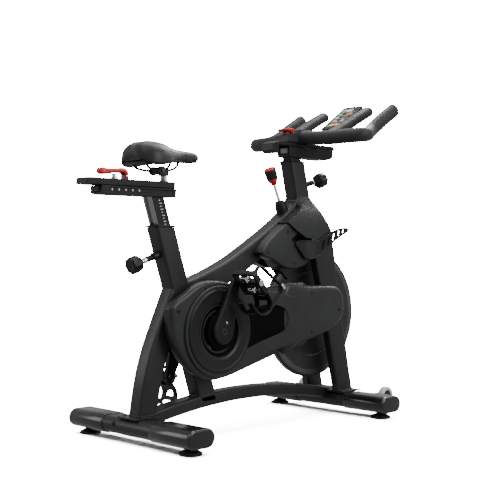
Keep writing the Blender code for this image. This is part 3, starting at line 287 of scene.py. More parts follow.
def piece(name, bm, mat, body, stands=(), bevel=0.0, seg=3, smooth=38.0, cuts=(), joins=()):
    """A finished visible piece. cuts and joins are bmeshes taken out of it or fused to it."""
    made = solid(name, bm)
    tools = [(solid("tool", tool), "DIFFERENCE") for tool in cuts] + [(solid("tool", tool), "UNION")
        for tool in joins]
    for tool, way in sorted(tools, key=lambda pair: pair[1], reverse=True):
        step = made.modifiers.new("cut", "BOOLEAN")
        step.object, step.operation, step.solver = tool, way, "EXACT"
    if tools:
        apply_modifiers(made)
    for tool, _ in tools:
        bpy.data.objects.remove(tool, do_unlink=True)
    if bevel:
        modify(made, "BEVEL", width=bevel, segments=seg, limit_method="ANGLE",
               angle_limit=BEVEL_FROM, miter_outer="MITER_ARC")
    made.data.shade_smooth()
    made.data.set_sharp_from_angle(angle=math.radians(smooth))
    if bevel:
        step = made.modifiers.new("normals", "WEIGHTED_NORMAL")
        step.keep_sharp = True
    return dress(made, mat, body, stands)


def mm(*rows):
    """Rows of millimetres as rows of metres."""
    return [tuple(value / 1000 for value in row) for row in rows]


def sided(side, *rows):
    """Rows of radius and height in millimetres, with the heights on one side of the bike."""
    return [(radius, side * height) for radius, height in mm(*rows)]


def side_line(*rows):
    """Points in the bike's middle plane, from rows of x and z in millimetres."""
    return [Vector((x, 0.0, z)) for x, z in mm(*rows)]


def vectors(*rows):
    """Points in space, from rows of x, y and z in millimetres."""
    return [Vector(row) for row in mm(*rows)]


def level(outline, y):
    """A loop of (x, z) points at one y."""
    return [Vector((x, y, z)) for x, z in outline]


def rounded_rect(half_u, half_v, radius, per_corner=7):
    """Points of a rectangle with round corners."""
    points = []
    for k, (su, sv) in enumerate(((1, 1), (-1, 1), (-1, -1), (1, -1))):
        for i in range(per_corner):
            angle = math.pi / 2 * (k + i / (per_corner - 1))
            points.append((su * (half_u - radius) + radius * math.cos(angle),
                sv * (half_v - radius) + radius * math.sin(angle)))
    return points


def oval(half_u, half_v, count=32, power=1.0):
    """Points of an ellipse, or of a squarer oval with a power under 1."""
    made = []
    for k in range(count):
        c, s = math.cos(2 * math.pi * k / count), math.sin(2 * math.pi * k / count)
        made.append((half_u * math.copysign(abs(c) ** power, c), half_v * math.copysign(abs(s) ** power, s)))
    return made


def loft(rings, closed=False):
    """A bmesh skinned through rings of as many points each. closed joins the last ring to the first."""
    bm = bmesh.new()
    rows = [[bm.verts.new(p) for p in ring] for ring in rings]
    pairs = list(zip(rows, rows[1:]))
    if closed:
        pairs.append((rows[-1], rows[0]))
    for low, high in pairs:
        for i in range(len(low)):
            j = (i + 1) % len(low)
            bm.faces.new((low[i], low[j], high[j], high[i]))
    if not closed:
        bm.faces.new(rows[0])
        bm.faces.new(rows[-1])
    return bm


def ring_at(centre, u, v, section):
    """A flat section placed in space."""
    return [centre + u * a + v * b for a, b in section]


def sweep(path, section, side):
    """A section, or one section for each point, carried along a path with its width towards side."""
    rings = []
    for i, point in enumerate(path):
        along = (path[min(i + 1, len(path) - 1)] - path[max(i - 1, 0)]).normalized()
        u = (side - along * side.dot(along)).normalized()
        shape = section[i] if isinstance(section[0], list) else section
        rings.append(ring_at(point, u, along.cross(u), shape))
    return loft(rings)


def frame_of(axis):
    """Two directions square to an axis, and the axis."""
    w = axis.normalized()
    u = (Y.cross(w) if abs(w.y) < 0.9 else X).normalized()
    return u, w.cross(u), w


def lathe(profile, origin, axis, steps=48, ring=False):
    """Points (radius, height) turned about an axis. ring closes the profile on itself."""
    u, v, w = frame_of(axis)
    bm = bmesh.new()
    rows = []
    for radius, height in profile:
        centre = origin + w * height
        if radius == 0:
            rows.append([bm.verts.new(centre)])
        else:
            turns = [2 * math.pi * k / steps for k in range(steps)]
            rows.append([bm.verts.new(centre + (u * math.cos(a) + v * math.sin(a)) * radius) for a in turns])
    pairs = list(zip(rows, rows[1:]))
    if ring:
        pairs.append((rows[-1], rows[0]))
    for low, high in pairs:
        for i in range(steps):
            j = (i + 1) % steps
            corners = [low[i % len(low)], low[j % len(low)], high[j % len(high)], high[i % len(high)]]
            bm.faces.new(list(dict.fromkeys(corners)))
    return bm


def rod(centre, axis, radius, low, high, steps=40):
    """A round bar between two heights along its axis."""
    return lathe([(0, low), (radius, low), (radius, high), (0, high)], centre, axis, steps)


def tube(centre, axis, inner, outer, low, high, steps=48):
    """A round pipe between two heights along its axis."""
    return lathe([(inner, low), (outer, low), (outer, high), (inner, high)], centre, axis, steps, True)


def prism(outline, y_low, y_high):
    """An (x, z) outline as a solid between two values of y."""
    return loft([level(outline, y) for y in (y_low, y_high)])


def slab(outline, side, near, far):
    """A prism on one side of the bike, counted outwards from its middle."""
    return prism(outline, *sorted((side * near, side * far)))


def block(low, high):
    """A box between two corners."""
    return prism([(low[0], low[2]), (high[0], low[2]), (high[0], high[2]), (low[0], high[2])], low[1],
        high[1])


def spline(p0, p1, p2, p3, t):
    """The Catmull-Rom point between p1 and p2."""
    return (
        p0 * (-0.5 * t**3 + t**2 - 0.5 * t) + p1 * (1.5 * t**3 - 2.5 * t**2 + 1)
        + p2 * (-1.5 * t**3 + 2 * t**2 + 0.5 * t) + p3 * (0.5 * t**3 - 0.5 * t**2)
    )


def smooth_path(points, per=6):
    """A smooth open curve through points, with per steps between two of them."""
    full = [points[0] * 2 - points[1], *points, points[-1] * 2 - points[-2]]
    made = [spline(*full[i : i + 4], s / per) for i in range(len(points) - 1) for s in range(per)]
    return [*made, points[-1]]


def smooth_loop(points, per=8):
    """A smooth closed curve through (x, z) points."""
    flat = [Vector(p) for p in points]
    count = len(flat)
    return [
        tuple(spline(*(flat[(i + k) % count] for k in (-1, 0, 1, 2)), s / per))
        for i in range(count)
        for s in range(per)
    ]


def inset(outline, distance):
    """A loop of (x, z) points moved towards its inside."""
    area = sum(a[0] * b[1] - b[0] * a[1] for a, b in zip(outline, outline[1:] + outline[:1]))
    sign = 1 if area > 0 else -1
    made = []
    for i, (x, z) in enumerate(outline):
        before, after = outline[i - 1], outline[(i + 1) % len(outline)]
        run = Vector((after[0] - before[0], after[1] - before[1])).normalized()
        made.append((x - sign * run.y * distance, z + sign * run.x * distance))
    return made


def arc(x, z, radius, start, stop, count):
    """Points of an arc in the (x, z) plane, from one angle in degrees to another."""
    angles = [math.radians(start + (stop - start) * k / (count - 1)) for k in range(count)]
    return [(x + radius * math.cos(a), z + radius * math.sin(a)) for a in angles]


def rim_steps(rim, start, rise, count):
    """Steps (inset, y) round a rolled edge."""
    turns = [math.pi / 2 * k / count for k in range(1, count + 1)]
    return [(rim * (1 - math.cos(a)), start + rise * math.sin(a)) for a in turns]


def pillow(outline, y_base, y_top, rim, rounds=6):
    """A plate whose outer edge rolls over towards y_top in a quarter round."""
    out = 1 if y_top > y_base else -1
    steps = [(0.0, y_base)]
    for k in range(rounds + 1):
        a = math.pi / 2 * k / rounds
        steps.append((rim * (1 - math.cos(a)), y_top - out * rim * (1 - math.sin(a))))
    return loft([level(inset(outline, d), y) for d, y in steps])


def grown_ring(plan, half, grow, mid, z):
    """A level loop round (0, mid), made wider and longer by grow."""
    return [Vector((x * (1 + grow / half[0]), mid + y * (1 + grow / half[1]), z)) for x, y in plan]


def mirrored(points):
    """Points moved to the other side of the bike."""
    return [Vector((p.x, -p.y, p.z)) for p in points]


def along_seat(z):
    """The point of the seat tube's axis at a height."""
    return SEAT_AXIS + SEAT_UP * ((z - SEAT_AXIS.z) / SEAT_UP.z)


def along_head(z):
    """The point of the head tube's axis at a height."""
    return HEAD_AXIS + HEAD_UP * ((z - HEAD_AXIS.z) / HEAD_UP.z)


def column(along, lean, heights, half_d, half_w, radius):
    """A leaning tube or bar with level ends."""
    section = rounded_rect(half_d / math.cos(lean), half_w, radius)
    return loft([ring_at(along(z), X, Y, section) for z in heights])


def upward(run):
    """The direction square to run that lies nearest to straight up."""
    return (Z - run * Z.dot(run)).normalized()


def weld(loop, body, name, radius=0.0032):
    """A weld bead: a rippled round ridge along a closed loop of points."""
    count = len(loop)
    rings = []
    for i, point in enumerate(loop):
        run = (loop[(i + 1) % count] - loop[i - 1]).normalized()
        u = upward(run)
        v = run.cross(u)
        size = radius * (1.0 + 0.16 * math.sin(i * math.pi / 1.5))
        rings.append(ring_at(point, u, v, oval(size, size, 10)))
    return piece(name, loft(rings, closed=True), PAINT, body, smooth=70)


def dense(loop, step=0.0022):
    """A closed loop of points walked in equal steps."""
    made = []
    for a, b in zip(loop, loop[1:] + loop[:1]):
        count = max(1, round((b - a).length / step))
        made += [a.lerp(b, k / count) for k in range(count)]
    return made


def screw(name, centre, way, body, radius=0.005, mat=None):
    """A button-head screw with a hexagonal socket, standing on a surface."""
    head = [(0, -0.003), (radius, -0.003), (radius, 0.0004), (radius * 0.85, 0.0014), (radius * 0.55, 0.002),
        (0, 0.0021)]
    hexagon = lathe([(0, 0.0007), (radius * 0.45, 0.0007), (radius * 0.45, 0.004), (0, 0.004)], centre, way,
        6)
    return piece(name, lathe(head, centre, way, 24), mat or BLACK, body, cuts=[hexagon], smooth=35)


# ---- welded frame
BEAM_LINE = side_line((-300, 468), (-255, 476), (-173, 502), (-70, 544), (28, 596), (129, 654), (210, 707),
    (272, 756), (300, 782))
REAR_LINE = side_line((-290, 500), (-306, 472), (-354, 368), (-395, 275), (-422.5, 182), (-440.5, 79.5))
ARCH_X = [-0.445 + 0.0905 * k for k in range(11)]
ARCH_LINE = [Vector((x, 0.0, ARCH_TOP - ARCH_FALL * x**2)) for x in ARCH_X]
LEG_STEPS = [Vector(row) for row in ((0.7, 0.05, 0.052), (0.632, 0.057, LEG_Y), (0.535, 0.051, LEG_Y),
    (0.46, 0.047, LEG_Y), (0.29, 0.0437, LEG_Y), (0.0845, 0.0405, LEG_Y))]
CROWN_STEPS = vectors((815, 30, 27.5), (800, 34.5, 33), (775, 44, 46), (745, 52, 64), (705, 60, 80),
    (643, 59, 90.8))

piece("seat_tube", column(along_seat, SEAT_LEAN, (SEAT_TOP_Z - 0.0002, 0.108), *TUBE), PAINT, "frame",
    stands=("frame",))
for name, line, half in (("rear_post", REAR_LINE, (0.0295, 0.0365)),
    ("main_beam", BEAM_LINE, (0.0298, 0.0362))):
    bore = column(along_seat, SEAT_LEAN, (0.72, 0.36), POST[0] + BORE_PLAY, POST[1] + BORE_PLAY, POST[2])
    piece(name, sweep(smooth_path(line), rounded_rect(*half, 0.008), Y), PAINT, "frame", cuts=[bore])
piece("arched_base", sweep(smooth_path(ARCH_LINE, 4), rounded_rect(0.03, 0.021, 0.008), Y), PAINT, "frame")
piece("head_tube", column(along_head, HEAD_LEAN, (HEAD_TOP_Z - 0.0002, 0.745), *TUBE), PAINT, "frame")
CROWN_SPREAD = smooth_path(CROWN_STEPS, 5)
crown = [ring_at(along_head(s.x), X, Y, rounded_rect(s.y, s.z, 0.007)) for s in CROWN_SPREAD]
piece("fork_crown", loft(crown), PAINT, "frame", smooth=50)
for hand, side in HANDS:
    front = mm((306, 789), (336, 750), (366, 712), (383, 676), (386, 650))
    outline = [(0.152, 0.707), (0.225, 0.746), (0.29, 0.79), *front, (0.24, 0.652),
        (0.19, 0.68)] if side < 0 else [(0.296, 0.774), (0.3, 0.788), *front, (0.29, 0.65)]
    panel = prism(outline, side * 0.018, side * 0.026)
    for k in range(15):
        bmesh.ops.bisect_plane(panel, geom=[*panel.verts, *panel.edges, *panel.faces],
            plane_co=(0, 0, 0.655 + 0.01 * k), plane_no=(0, 0, 1))
    for v in panel.verts:
        if abs(v.co.y) > 0.022:
            pair = min(zip(CROWN_SPREAD, CROWN_SPREAD[1:]), key=lambda p: abs((p[0].x + p[1].x) / 2 - v.co.z))
            t = min(1.0, max(0.0, (v.co.z - pair[0].x) / (pair[1].x - pair[0].x)))
            v.co.y = side * (pair[0].z + (pair[1].z - pair[0].z) * t + 0.0006)
    piece(f"crown_panel_{hand}", panel, PAINT, "frame", bevel=0.003, seg=3, smooth=45)


def fork_leg(side, grow=0.0):
    """A front leg, leaning with the head tube."""
    rings = []
    for s in smooth_path(LEG_STEPS, 5):
        section = rounded_rect(s.y + grow, 0.017 + grow, 0.007)
        rings.append(ring_at(along_head(s.x) + Y * (side * s.z), X, Y, section))
    return loft(rings)


for hand, side in HANDS:
    piece(f"fork_leg_{hand}", fork_leg(side), PAINT, "frame", smooth=50)
piece("bracket_shell", tube(CRANK, Y, 0.0127, 0.027, -0.034, 0.034), PAINT, "frame", bevel=0.001)
piece("bracket_gusset", block((-0.262, -0.024, 0.322), (-0.192, 0.024, 0.362)), PAINT, "frame", bevel=0.002)
piece("rear_plate", block((-0.505, -0.046, 0.0793), (-0.395, 0.046, 0.0853)), PAINT, "frame", bevel=0.0015)
piece("front_plate", block((0.415, -0.112, 0.0793), (0.519, 0.112, 0.0853)), PAINT, "frame", bevel=0.0015)
foot_ring = ring_at(along_seat(0.128), X, Y, rounded_rect(0.0372, 0.0287, 0.012, 5))
for p in foot_ring:
    if abs(p.y) < 0.029:
        p.z = ARCH_TOP - ARCH_FALL * p.x**2 + 0.0215
weld(dense(foot_ring), "frame", "weld_seat_tube")
loop = ring_at(Vector((-0.44, 0, 0.0862)), X, Y, rounded_rect(0.0362, 0.0282, 0.011, 5))
weld(dense(loop), "frame", "weld_rear_post")
for hand, side in HANDS:
    loop = ring_at(along_head(0.0858) + Y * (side * LEG_Y), X, Y, rounded_rect(0.0408, 0.0172, 0.007, 5))
    weld(dense(loop), "frame", f"weld_leg_{hand}")
for name, base, way in (("seat", SEAT_PIN_BASE, SEAT_BACK), ("head", HEAD_PIN_BASE, HEAD_FRONT)):
    collar = mm((6.3, 30), (12.5, 30), (12.5, 56), (11.8, 57.5), (11.8, 60.5), (10.8, 61.8), (6.3, 61.8))
    piece(f"{name}_pin_boss", lathe(collar, base, way, ring=True), SATIN, "frame")
for hand, side in HANDS:
    lug = [*arc(BRAKE_PIVOT.x, BRAKE_PIVOT.z, 0.012, 180, 360, 13), (0.137, 0.64), (0.113, 0.63)]
    piece(f"brake_lug_{hand}", slab(lug, side, 0.022, 0.028), PAINT, "frame", bevel=0.001)
piece("brake_pin", rod(BRAKE_PIVOT, Y, 0.0058, -0.0275, 0.0275, 24), DARK_STEEL, "frame", bevel=0.0006)

# ---- stabilisers, end covers, feet, wheels
for end, sx in (("rear", -1), ("front", 1)):
    centre = Vector((sx * FOOT_X, 0.0, STAB_Z))
    body = rounded_rect(STAB_HALF_X, STAB_HALF_Z, STAB_HALF_Z, 14)
    piece(f"cross_tube_{end}", loft([ring_at(centre + Y * y, X, Z, body) for y in (-0.29, 0.29)]), PAINT,
        "frame", stands=(f"stabiliser_{end}",))
    for hand, side in HANDS:
        rings, grow = [], 0.003
        rows = [(0.118, grow - 0.0016), (0.1185, grow - 0.0005), (0.12, grow), (0.2, grow), (0.2935, grow),
            (0.2975, grow - 0.0006), (0.3003, grow - 0.0022), (0.3019, grow - 0.0045),
            (0.3025, grow - 0.0075)]
        for k, (y, g) in enumerate(rows):
            section = rounded_rect(STAB_HALF_X + g, STAB_HALF_Z + g, STAB_HALF_Z + g, 14)
            swing = [0.007 * math.sin(math.atan2(b, a * -sx)) if k < 3 else 0.0 for a, b in section]
            rings.append([centre + Y * (side * (y + w)) + X * a + Z * b for (a, b), w in zip(section, swing)])
        piece(f"sleeve_{end}_{hand}", loft(rings), SLEEVE, "frame", stands=(f"end_cover_{end}_{hand}",),
            smooth=50)
        if end == "front":
            hub = Vector((0.556, side * 0.2, 0.066))
            for k, offset in enumerate((-0.0165, 0.0165)):
                ear = [*arc(hub.x, hub.z, 0.011, -80, 95, 10), (0.5, 0.078), (0.5, 0.042)]
                piece(f"wheel_ear_{hand}{k}", prism(ear, hub.y + offset - 0.002, hub.y + offset + 0.002),
                    SLEEVE, "frame", bevel=0.0006)
            piece(f"wheel_pin_{hand}", rod(hub, Y, 0.0039, -0.0185, 0.0185, 24), STEEL, "frame", bevel=0.0005)
            ride = f"transport_wheel_{hand}"
            tyre = mm((20, -10), (28.5, -12.2), (31.8, -11), (33.3, -7.5), (33.5, 0), (33.3, 7.5), (31.8, 11),
                (28.5, 12.2), (20, 10))
            piece(f"wheel_tyre_{hand}", lathe(tyre, hub, Y, 56, True), PALE, ride, stands=(ride,), smooth=50)
            hubs = mm((4.1, -13.5), (8.5, -13.5), (9.5, -9), (17, -8), (20.5, -10), (20.5, 10), (17, 8),
                (9.5, 9), (8.5, 13.5), (4.1, 13.5))
            piece(f"wheel_hub_{hand}", lathe(hubs, hub, Y, 48, True), SATIN, ride, smooth=35)
        foot = Vector((sx * FOOT_X, side * FOOT_Y, 0.0))
        name = f"foot_{end}_{hand}"
        pad = mm((0, 0.6), (30, 0.6), (33.5, 0), (35.5, 1), (36, 3.5), (35.7, 6.2), (34.5, 8.2), (30, 9.6),
            (26.8, 10.4), (25.8, 12.4), (23.5, 14.2), (19, 15.6), (14, 16.6), (12.8, 17.5), (0, 17.6))
        piece(name, lathe(pad, foot, Z, 64), RUBBER, name, stands=(name,), smooth=42)
        nut = lathe(mm((0, 17), (12, 17), (12.8, 18), (12.8, 20.3), (12, 21.2), (0, 21.2)), foot, Z, 6)
        piece(f"{name}_nut", nut, DARK_STEEL, name, bevel=0.0004)
        piece(f"{name}_stud", rod(foot, Z, 0.0049, 0.018, 0.0415, 24), STEEL, name)
        screw(f"sleeve_screw_{end}_{hand}", centre + Y * (side * 0.15) + Z * -0.0302, -Z, "frame", 0.005)
for end, x in (("rear", -0.4855), ("front", 0.502)):
    for hand, side in HANDS:
        y = 0.034 if end == "rear" else 0.1
        screw(f"plate_bolt_{end}_{hand}", Vector((x, side * y, 0.0857)), Z, "frame", 0.0065)
screw("base_bolt_rear", Vector((-0.5115, 0.06, 0.06)), Vector((-1, 0, 0.35)), "frame", 0.008)

# ---- covers
COVER_LINE = smooth_loop(mm((262, 288), (262, 478), (110, 480), (-60, 488), (-180, 507), (-262, 503),
    (-330, 468), (-382, 437), (-390, 404), (-374, 314), (-318, 230), (-234, 185), (-148, 186), (-29, 214),
    (120, 252)))
LOBE_LINE = smooth_loop(mm((105, 256), (200, 278), (300, 298), (376, 320), (428, 362), (437, 412), (424, 456),
    (380, 478), (250, 482), (105, 480)))
LEFT_LINE = smooth_loop(mm((262, 302), (262, 456), (110, 466), (-50, 458), (-180, 442), (-258, 410),
    (-286, 342), (-258, 274), (-180, 242), (-29, 252), (120, 276)))
TEARDROP = arc(CRANK.x, CRANK.z, 0.15, 75, 290, 60)
TEARDROP += [(0.02, 0.2475), (0.0478, 0.2576), *arc(0.1135, 0.368, 0.088, -75, 60, 30), (0.0774, 0.4637),
    (-0.02, 0.478)]


def bend(bm):
    """Slopes the front part of a plate outwards, as the drive cover does."""
    for x in (-0.01, 0.0, 0.012, 0.088, 0.1, 0.112):
        bmesh.ops.bisect_plane(bm, geom=[*bm.verts, *bm.edges, *bm.faces], plane_co=(x, 0, 0),
            plane_no=(1, 0, 0))
    for v in bm.verts:
        t = min(1.0, max(0.0, v.co.x / 0.1))
        v.co.y -= COVER_SLOPE * t
    return bm


def shell(name, side, outline, stands, cuts):
    """A moulded side cover with a rolled rim, a recessed rear half and a hollow back."""
    steps = mm((10.5, 31.5), (10.5, 58.5), (0, 59), (0, 69))
    steps += rim_steps(0.015, 0.069, 0.0138, 8)
    rings = [level(inset(outline, depth), side * y) for depth, y in steps]
    cuts = [slab(inset(outline, 0.013), side, 0.025, 0.07), *cuts]
    piece(name, loft(rings), COVER, "frame", stands, cuts=cuts, smooth=32)


step_line = [(x, z) for x, z in inset(LOBE_LINE, 0.002) if x < LOBE_STEP_END]
shell(
    "cover_right", -1, COVER_LINE, ("guard_right",),
    [rod(CRANK, Y, BORE_R, -0.2, 0.0, 72), block((0.215, -0.056, 0.308), (0.33, -0.02, 0.43)),
        fork_leg(-1, 0.001)],
)
piece(
    "cover_lobe", prism(step_line, -0.079, -0.094), COVER, "frame",
    joins=[pillow(LOBE_LINE, -0.08, -0.108, 0.024, 9)],
    cuts=[fork_leg(-1, 0.001), rod(CRANK, Y, BORE_R, -0.2, 0.0, 72)], smooth=32,
)
shell("cover_left", 1, LEFT_LINE, ("guard_left",), [rod(CRANK, Y, BORE_R, 0.0, 0.2, 72)])
WINDOW = arc(CRANK.x, CRANK.z, 0.1385, 28, -29, 16)
WINDOW += smooth_path(vectors((0, 295, 0), (85, 322, 0), (112, 340, 0), (119.7, 374, 0), (105, 402, 0),
    (70, 418, 0), (21.6, 421.5, 0)), 5)
WINDOW = [(p[0], p[1]) for p in WINDOW]
plate = bend(pillow(TEARDROP, -0.076, -0.0908, 0.004, 5))
piece("teardrop_plate", plate, COVER, "frame", ("guard_plate",),
    cuts=[rod(CRANK, Y, 0.0848, -0.2, 0.0, 80), prism(WINDOW, -0.2, 0.0)], bevel=0.0012, seg=2, smooth=32)
# The recess floor seen through the plate's window is painted shade: a near-black sheet where there is only
# shade.
piece("teardrop_recess", bend(prism(inset(TEARDROP, 0.02), -0.081, -0.0852)), PAINTED_SHADE, "frame",
    cuts=[rod(CRANK, Y, 0.0848, -0.2, 0.0, 80)])
disc = mm((85.2, -83), (138, -83), (138, -92.5), (136.8, -94.2), (134.5, -95), (129, -95), (127, -94),
    (124.5, -93.6), (96, -93.6), (92.5, -93), (88, -90.5), (85.2, -88))
piece("cover_disc", lathe(disc, CRANK, Y, 120, True), SATIN, "frame", smooth=30)
well = mm((66, -80), (85, -80), (85, -88.5), (83.5, -89.3), (81.5, -88.5), (76, -83.5), (66, -81.8))
# The well round the crank's bore is painted shade: near-black where shade falls in the hole.
piece("cover_well", lathe(well, CRANK, Y, 96, True), PAINTED_SHADE, "frame", smooth=40)
piece("cover_well_left", lathe(mm((66.2, 74), (74, 74), (74, 85), (72.8, 86.2), (69, 86.2), (66.2, 84)),
    CRANK, Y, 96, True), BLACK, "frame", smooth=40)
left_disc = mm((74.5, 82.6), (105, 82.6), (105, 83.8), (104, 84.6), (76, 84.6), (74.5, 83.8))
piece("cover_disc_left", lathe(left_disc, CRANK, Y, 96, True), SLEEVE, "frame", smooth=30)
for k, (x, z) in enumerate(mm((-362, 415), (-245.6, 483), (-318, 280), (-233, 209))):
    screw(f"cover_screw_{k}", Vector((x, -0.0832, z)), -Y, "frame", 0.0055)
for k, spot in enumerate(vectors((396.5, -108, 390.5), (245, -107.6, 456), (245, -107.6, 316))):
    screw(f"lobe_screw_{k}", spot, -Y, "frame", 0.0055)
for k, (x, z) in enumerate(mm((-262, 300), (-240, 405), (-20, 440), (-10, 275), (235, 436), (235, 322))):
    screw(f"cover_screw_left_{k}", Vector((x, 0.0832, z)), Y, "frame", 0.0055)

SHROUD_LINES = {
    "right": smooth_loop(mm((30, 607), (90, 572), (140, 550), (185, 543.5), (235, 550), (270, 570),
        (260, 600), (215, 626), (180, 643), (198, 659), (218, 677), (192, 694), (150, 700))),
    "left": smooth_loop(mm((50, 590), (95, 568), (150, 548), (215, 545), (242, 575), (235, 615), (200, 638),
        (150, 622), (95, 600))),
}
for hand, side in HANDS:
    line = SHROUD_LINES[hand]
    steps = mm((4, 69), (4, 30.5), (0, 30.5), (0, 69.5))
    steps += rim_steps(0.004, 0.0695, 0.004, 5)
    rings = [level(inset(line, d), side * y) for d, y in steps]
    piece(f"shroud_{hand}", loft(rings), COVER, "frame", (f"side_shroud_{hand}",), smooth=32)
    spots = mm((56, 601), (157, 674.1), (190, 562)) if side < 0 else mm((80, 585), (200, 620), (190, 562))
    for k, (x, z) in enumerate(spots):
        screw(f"shroud_screw_{hand}_{k}", Vector((x, side * 0.0735, z)), Y * side, "frame", 0.0048)

WING = vectors((192, -78, 632), (212, -80, 624), (243, -84, 610), (285, -94.5, 612), (335, -98.5, 635),
    (375, -101, 660), (427, -103, 679), (462, -101.5, 686))
wing_half = [Vector((h, 0, 0)) for h in (0.006, 0.019, 0.034, 0.031, 0.027, 0.021, 0.013, 0.004)]
rings = []
for point, half in zip(smooth_path(WING, 6), smooth_path(wing_half, 6)):
    h, t = half.x, 0.0019
    lip = min(0.005, h * 0.4)
    section = [(t, -h + 0.001), (t - 0.0004, -h + lip), (t - 0.0004, h - lip), (t, h - 0.001), (0.0, h),
        (-t - 0.0022, h - 0.0005), (-t - 0.0026, h - lip * 0.6), (-t, h - lip), (-t, -h + lip),
        (-t - 0.0026, -h + lip * 0.6), (-t - 0.0022, -h + 0.0005), (0.0, -h)]
    rings.append(ring_at(point, Y, Z, section))
slots = []
for x, z, half in mm((318, 629, 16), (346, 642, 15), (373, 657, 12), (400, 671, 8.5), (425, 679, 6)):
    lean = 0.3 * half
    slots.append(prism([(x - lean - 0.0035, z - half), (x - lean + 0.0035, z - half),
        (x + lean + 0.0035, z + half), (x + lean - 0.0035, z + half)], -0.13, -0.07))
piece("wing", loft(rings), SATIN, "frame", ("bottle_wing",), cuts=slots, bevel=0.0004, seg=1, smooth=40)

# ---- flywheel, belt and brake
wheel = mm((8.7, 51), (12, 51.8), (17, 51.8), (19, 50.5), (20, 44), (24.5, 26), (27, 20), (33, 15), (48, 11),
    (62, 7.8), (70, 7), (150, 7), (153.5, 7.2), (155, 8), (155.8, 11.2), (157, 12.4), (160, 12.5),
    (229, 12.5), (231.8, 12.1), (234, 10.8), (235, 8.8))
profile = wheel + [(r, -h) for r, h in reversed(wheel)]
piece("wheel_disc", lathe(profile, WHEEL, Y, 144, True), IRON, "flywheel", ("flywheel",), smooth=30)
for k, side in enumerate((-1, 1)):
    band = sided(side, (208.5, 11.8), (228, 11.8), (228, 12.8), (227.2, 13), (209.3, 13), (208.5, 12.8))
    piece(f"wheel_band_{k}", lathe(band, WHEEL, Y, 144, True), RIM, "flywheel", smooth=30)
piece("wheel_edge", lathe(mm((233.5, -8), (235.4, -8), (235.8, -7.4), (235.8, 7.4), (235.4, 8), (233.5, 8)),
    WHEEL, Y, 144, True), RIM, "flywheel", smooth=30)
small = mm((12.5, -50.5), (30, -50.5), (30, -50), (27.8, -49.8), (27.8, -36.2), (30, -36), (30, -35.5),
    (12.5, -35.5))
piece("wheel_pulley", lathe(small, WHEEL, Y, 64, True), STEEL, "flywheel", smooth=30)
piece("wheel_axle", rod(WHEEL, Y, 0.0084, -0.09, 0.0975, 40), STEEL, "frame", ("flywheel_axle",),
    bevel=0.0008)
for hand, side in HANDS:
    if side > 0:
        rows = mm((8.6, 0), (15, 0), (16, 0.8), (16, 5.8), (15, 6.8), (8.6, 6.8))
        nut = lathe([(r, 0.0902 + h) for r, h in rows], WHEEL, Y, 6, True)
        piece(f"axle_nut_{hand}", nut, DARK_STEEL, "frame", bevel=0.0005)
    piece(f"axle_washer_{hand}", tube(WHEEL, Y, 0.0087, 0.018, *sorted((side * 0.0545, side * 0.0558)),
        steps=40), STEEL, "frame", bevel=0.0003)

pulley = mm((12.9, 7.5), (24, 7.5), (26, 4.5), (88, 4.5), (90, 7.5), (101, 7.5), (101.2, 7), (99.8, 6.6),
    (99.8, -6.6), (101.2, -7), (101, -7.5), (90, -7.5), (88, -4.5), (26, -4.5), (24, -7.5), (12.9, -7.5))
turns = [2 * math.pi * k / 5 for k in range(5)]
cuts = [rod(CRANK + Vector((math.cos(a), 0, math.sin(a))) * 0.058, Y, 0.018, -0.08, 0.0, 32) for a in turns]
piece("big_pulley", lathe(pulley, CRANK - Y * 0.043, Y, 112, True), ALLOY, "crank", ("drive_pulley",),
    cuts=cuts, smooth=30)
run = Vector((WHEEL.x - CRANK.x, WHEEL.z - CRANK.z))
slope = math.degrees(math.atan2(run.y, run.x))
lap = math.degrees(math.acos((BELT_BIG_R - BELT_SMALL_R) / run.length))


def belt_loop(grow):
    """The belt's path round both pulleys, moved outwards by grow."""
    front = arc(WHEEL.x, WHEEL.z, BELT_SMALL_R + grow, slope - lap, slope + lap, 28)
    return front + arc(CRANK.x, CRANK.z, BELT_BIG_R + grow, slope + lap, slope + 360 - lap, 72)


belt = [level(belt_loop(0.003), y) for y in (-0.0365, -0.0495)]
for k in range(8):
    groove = 0.0006 if k in (0, 7) else 0.0001 + 0.0009 * (k % 2)
    belt.append(level(belt_loop(groove), -0.0495 + 0.013 * k / 7))
piece("ribbed_belt", loft(belt, closed=True), RUBBER, "frame", ("drive_belt",), smooth=30)

yoke = arc(WHEEL.x, WHEEL.z, 0.2605, 98, 128, 30)
yoke += arc(BRAKE_PIVOT.x, BRAKE_PIVOT.z, 0.012, 60, 250, 20)
yoke += arc(WHEEL.x, WHEEL.z, 0.192, 138, 98, 36)
piece("caliper", prism(yoke, -0.0205, 0.0205), DARK_STEEL, "brake_yoke", ("brake_yoke",), bevel=0.0015,
    cuts=[rod(WHEEL, Y, 0.25, -0.0165, 0.0165, 120), rod(BRAKE_PIVOT, Y, 0.0062, -0.03, 0.03, 32)])
for hand, side in HANDS:
    pad = arc(WHEEL.x, WHEEL.z, 0.225, 100, 124, 20) + arc(WHEEL.x, WHEEL.z, 0.196, 124, 100, 20)
    piece(f"brake_pad_{hand}", slab(pad, side, 0.014, 0.0164), RUBBER, "brake_yoke", bevel=0.0005)
    for k, a in enumerate((104, 120)):
        spoke = Vector((math.cos(math.radians(a)), 0, math.sin(math.radians(a))))
        at = WHEEL + spoke * 0.2105 + Y * (side * 0.0205)
        screw(f"caliper_screw_{hand}_{k}", at, Y * side, "brake_yoke", 0.004, STEEL)

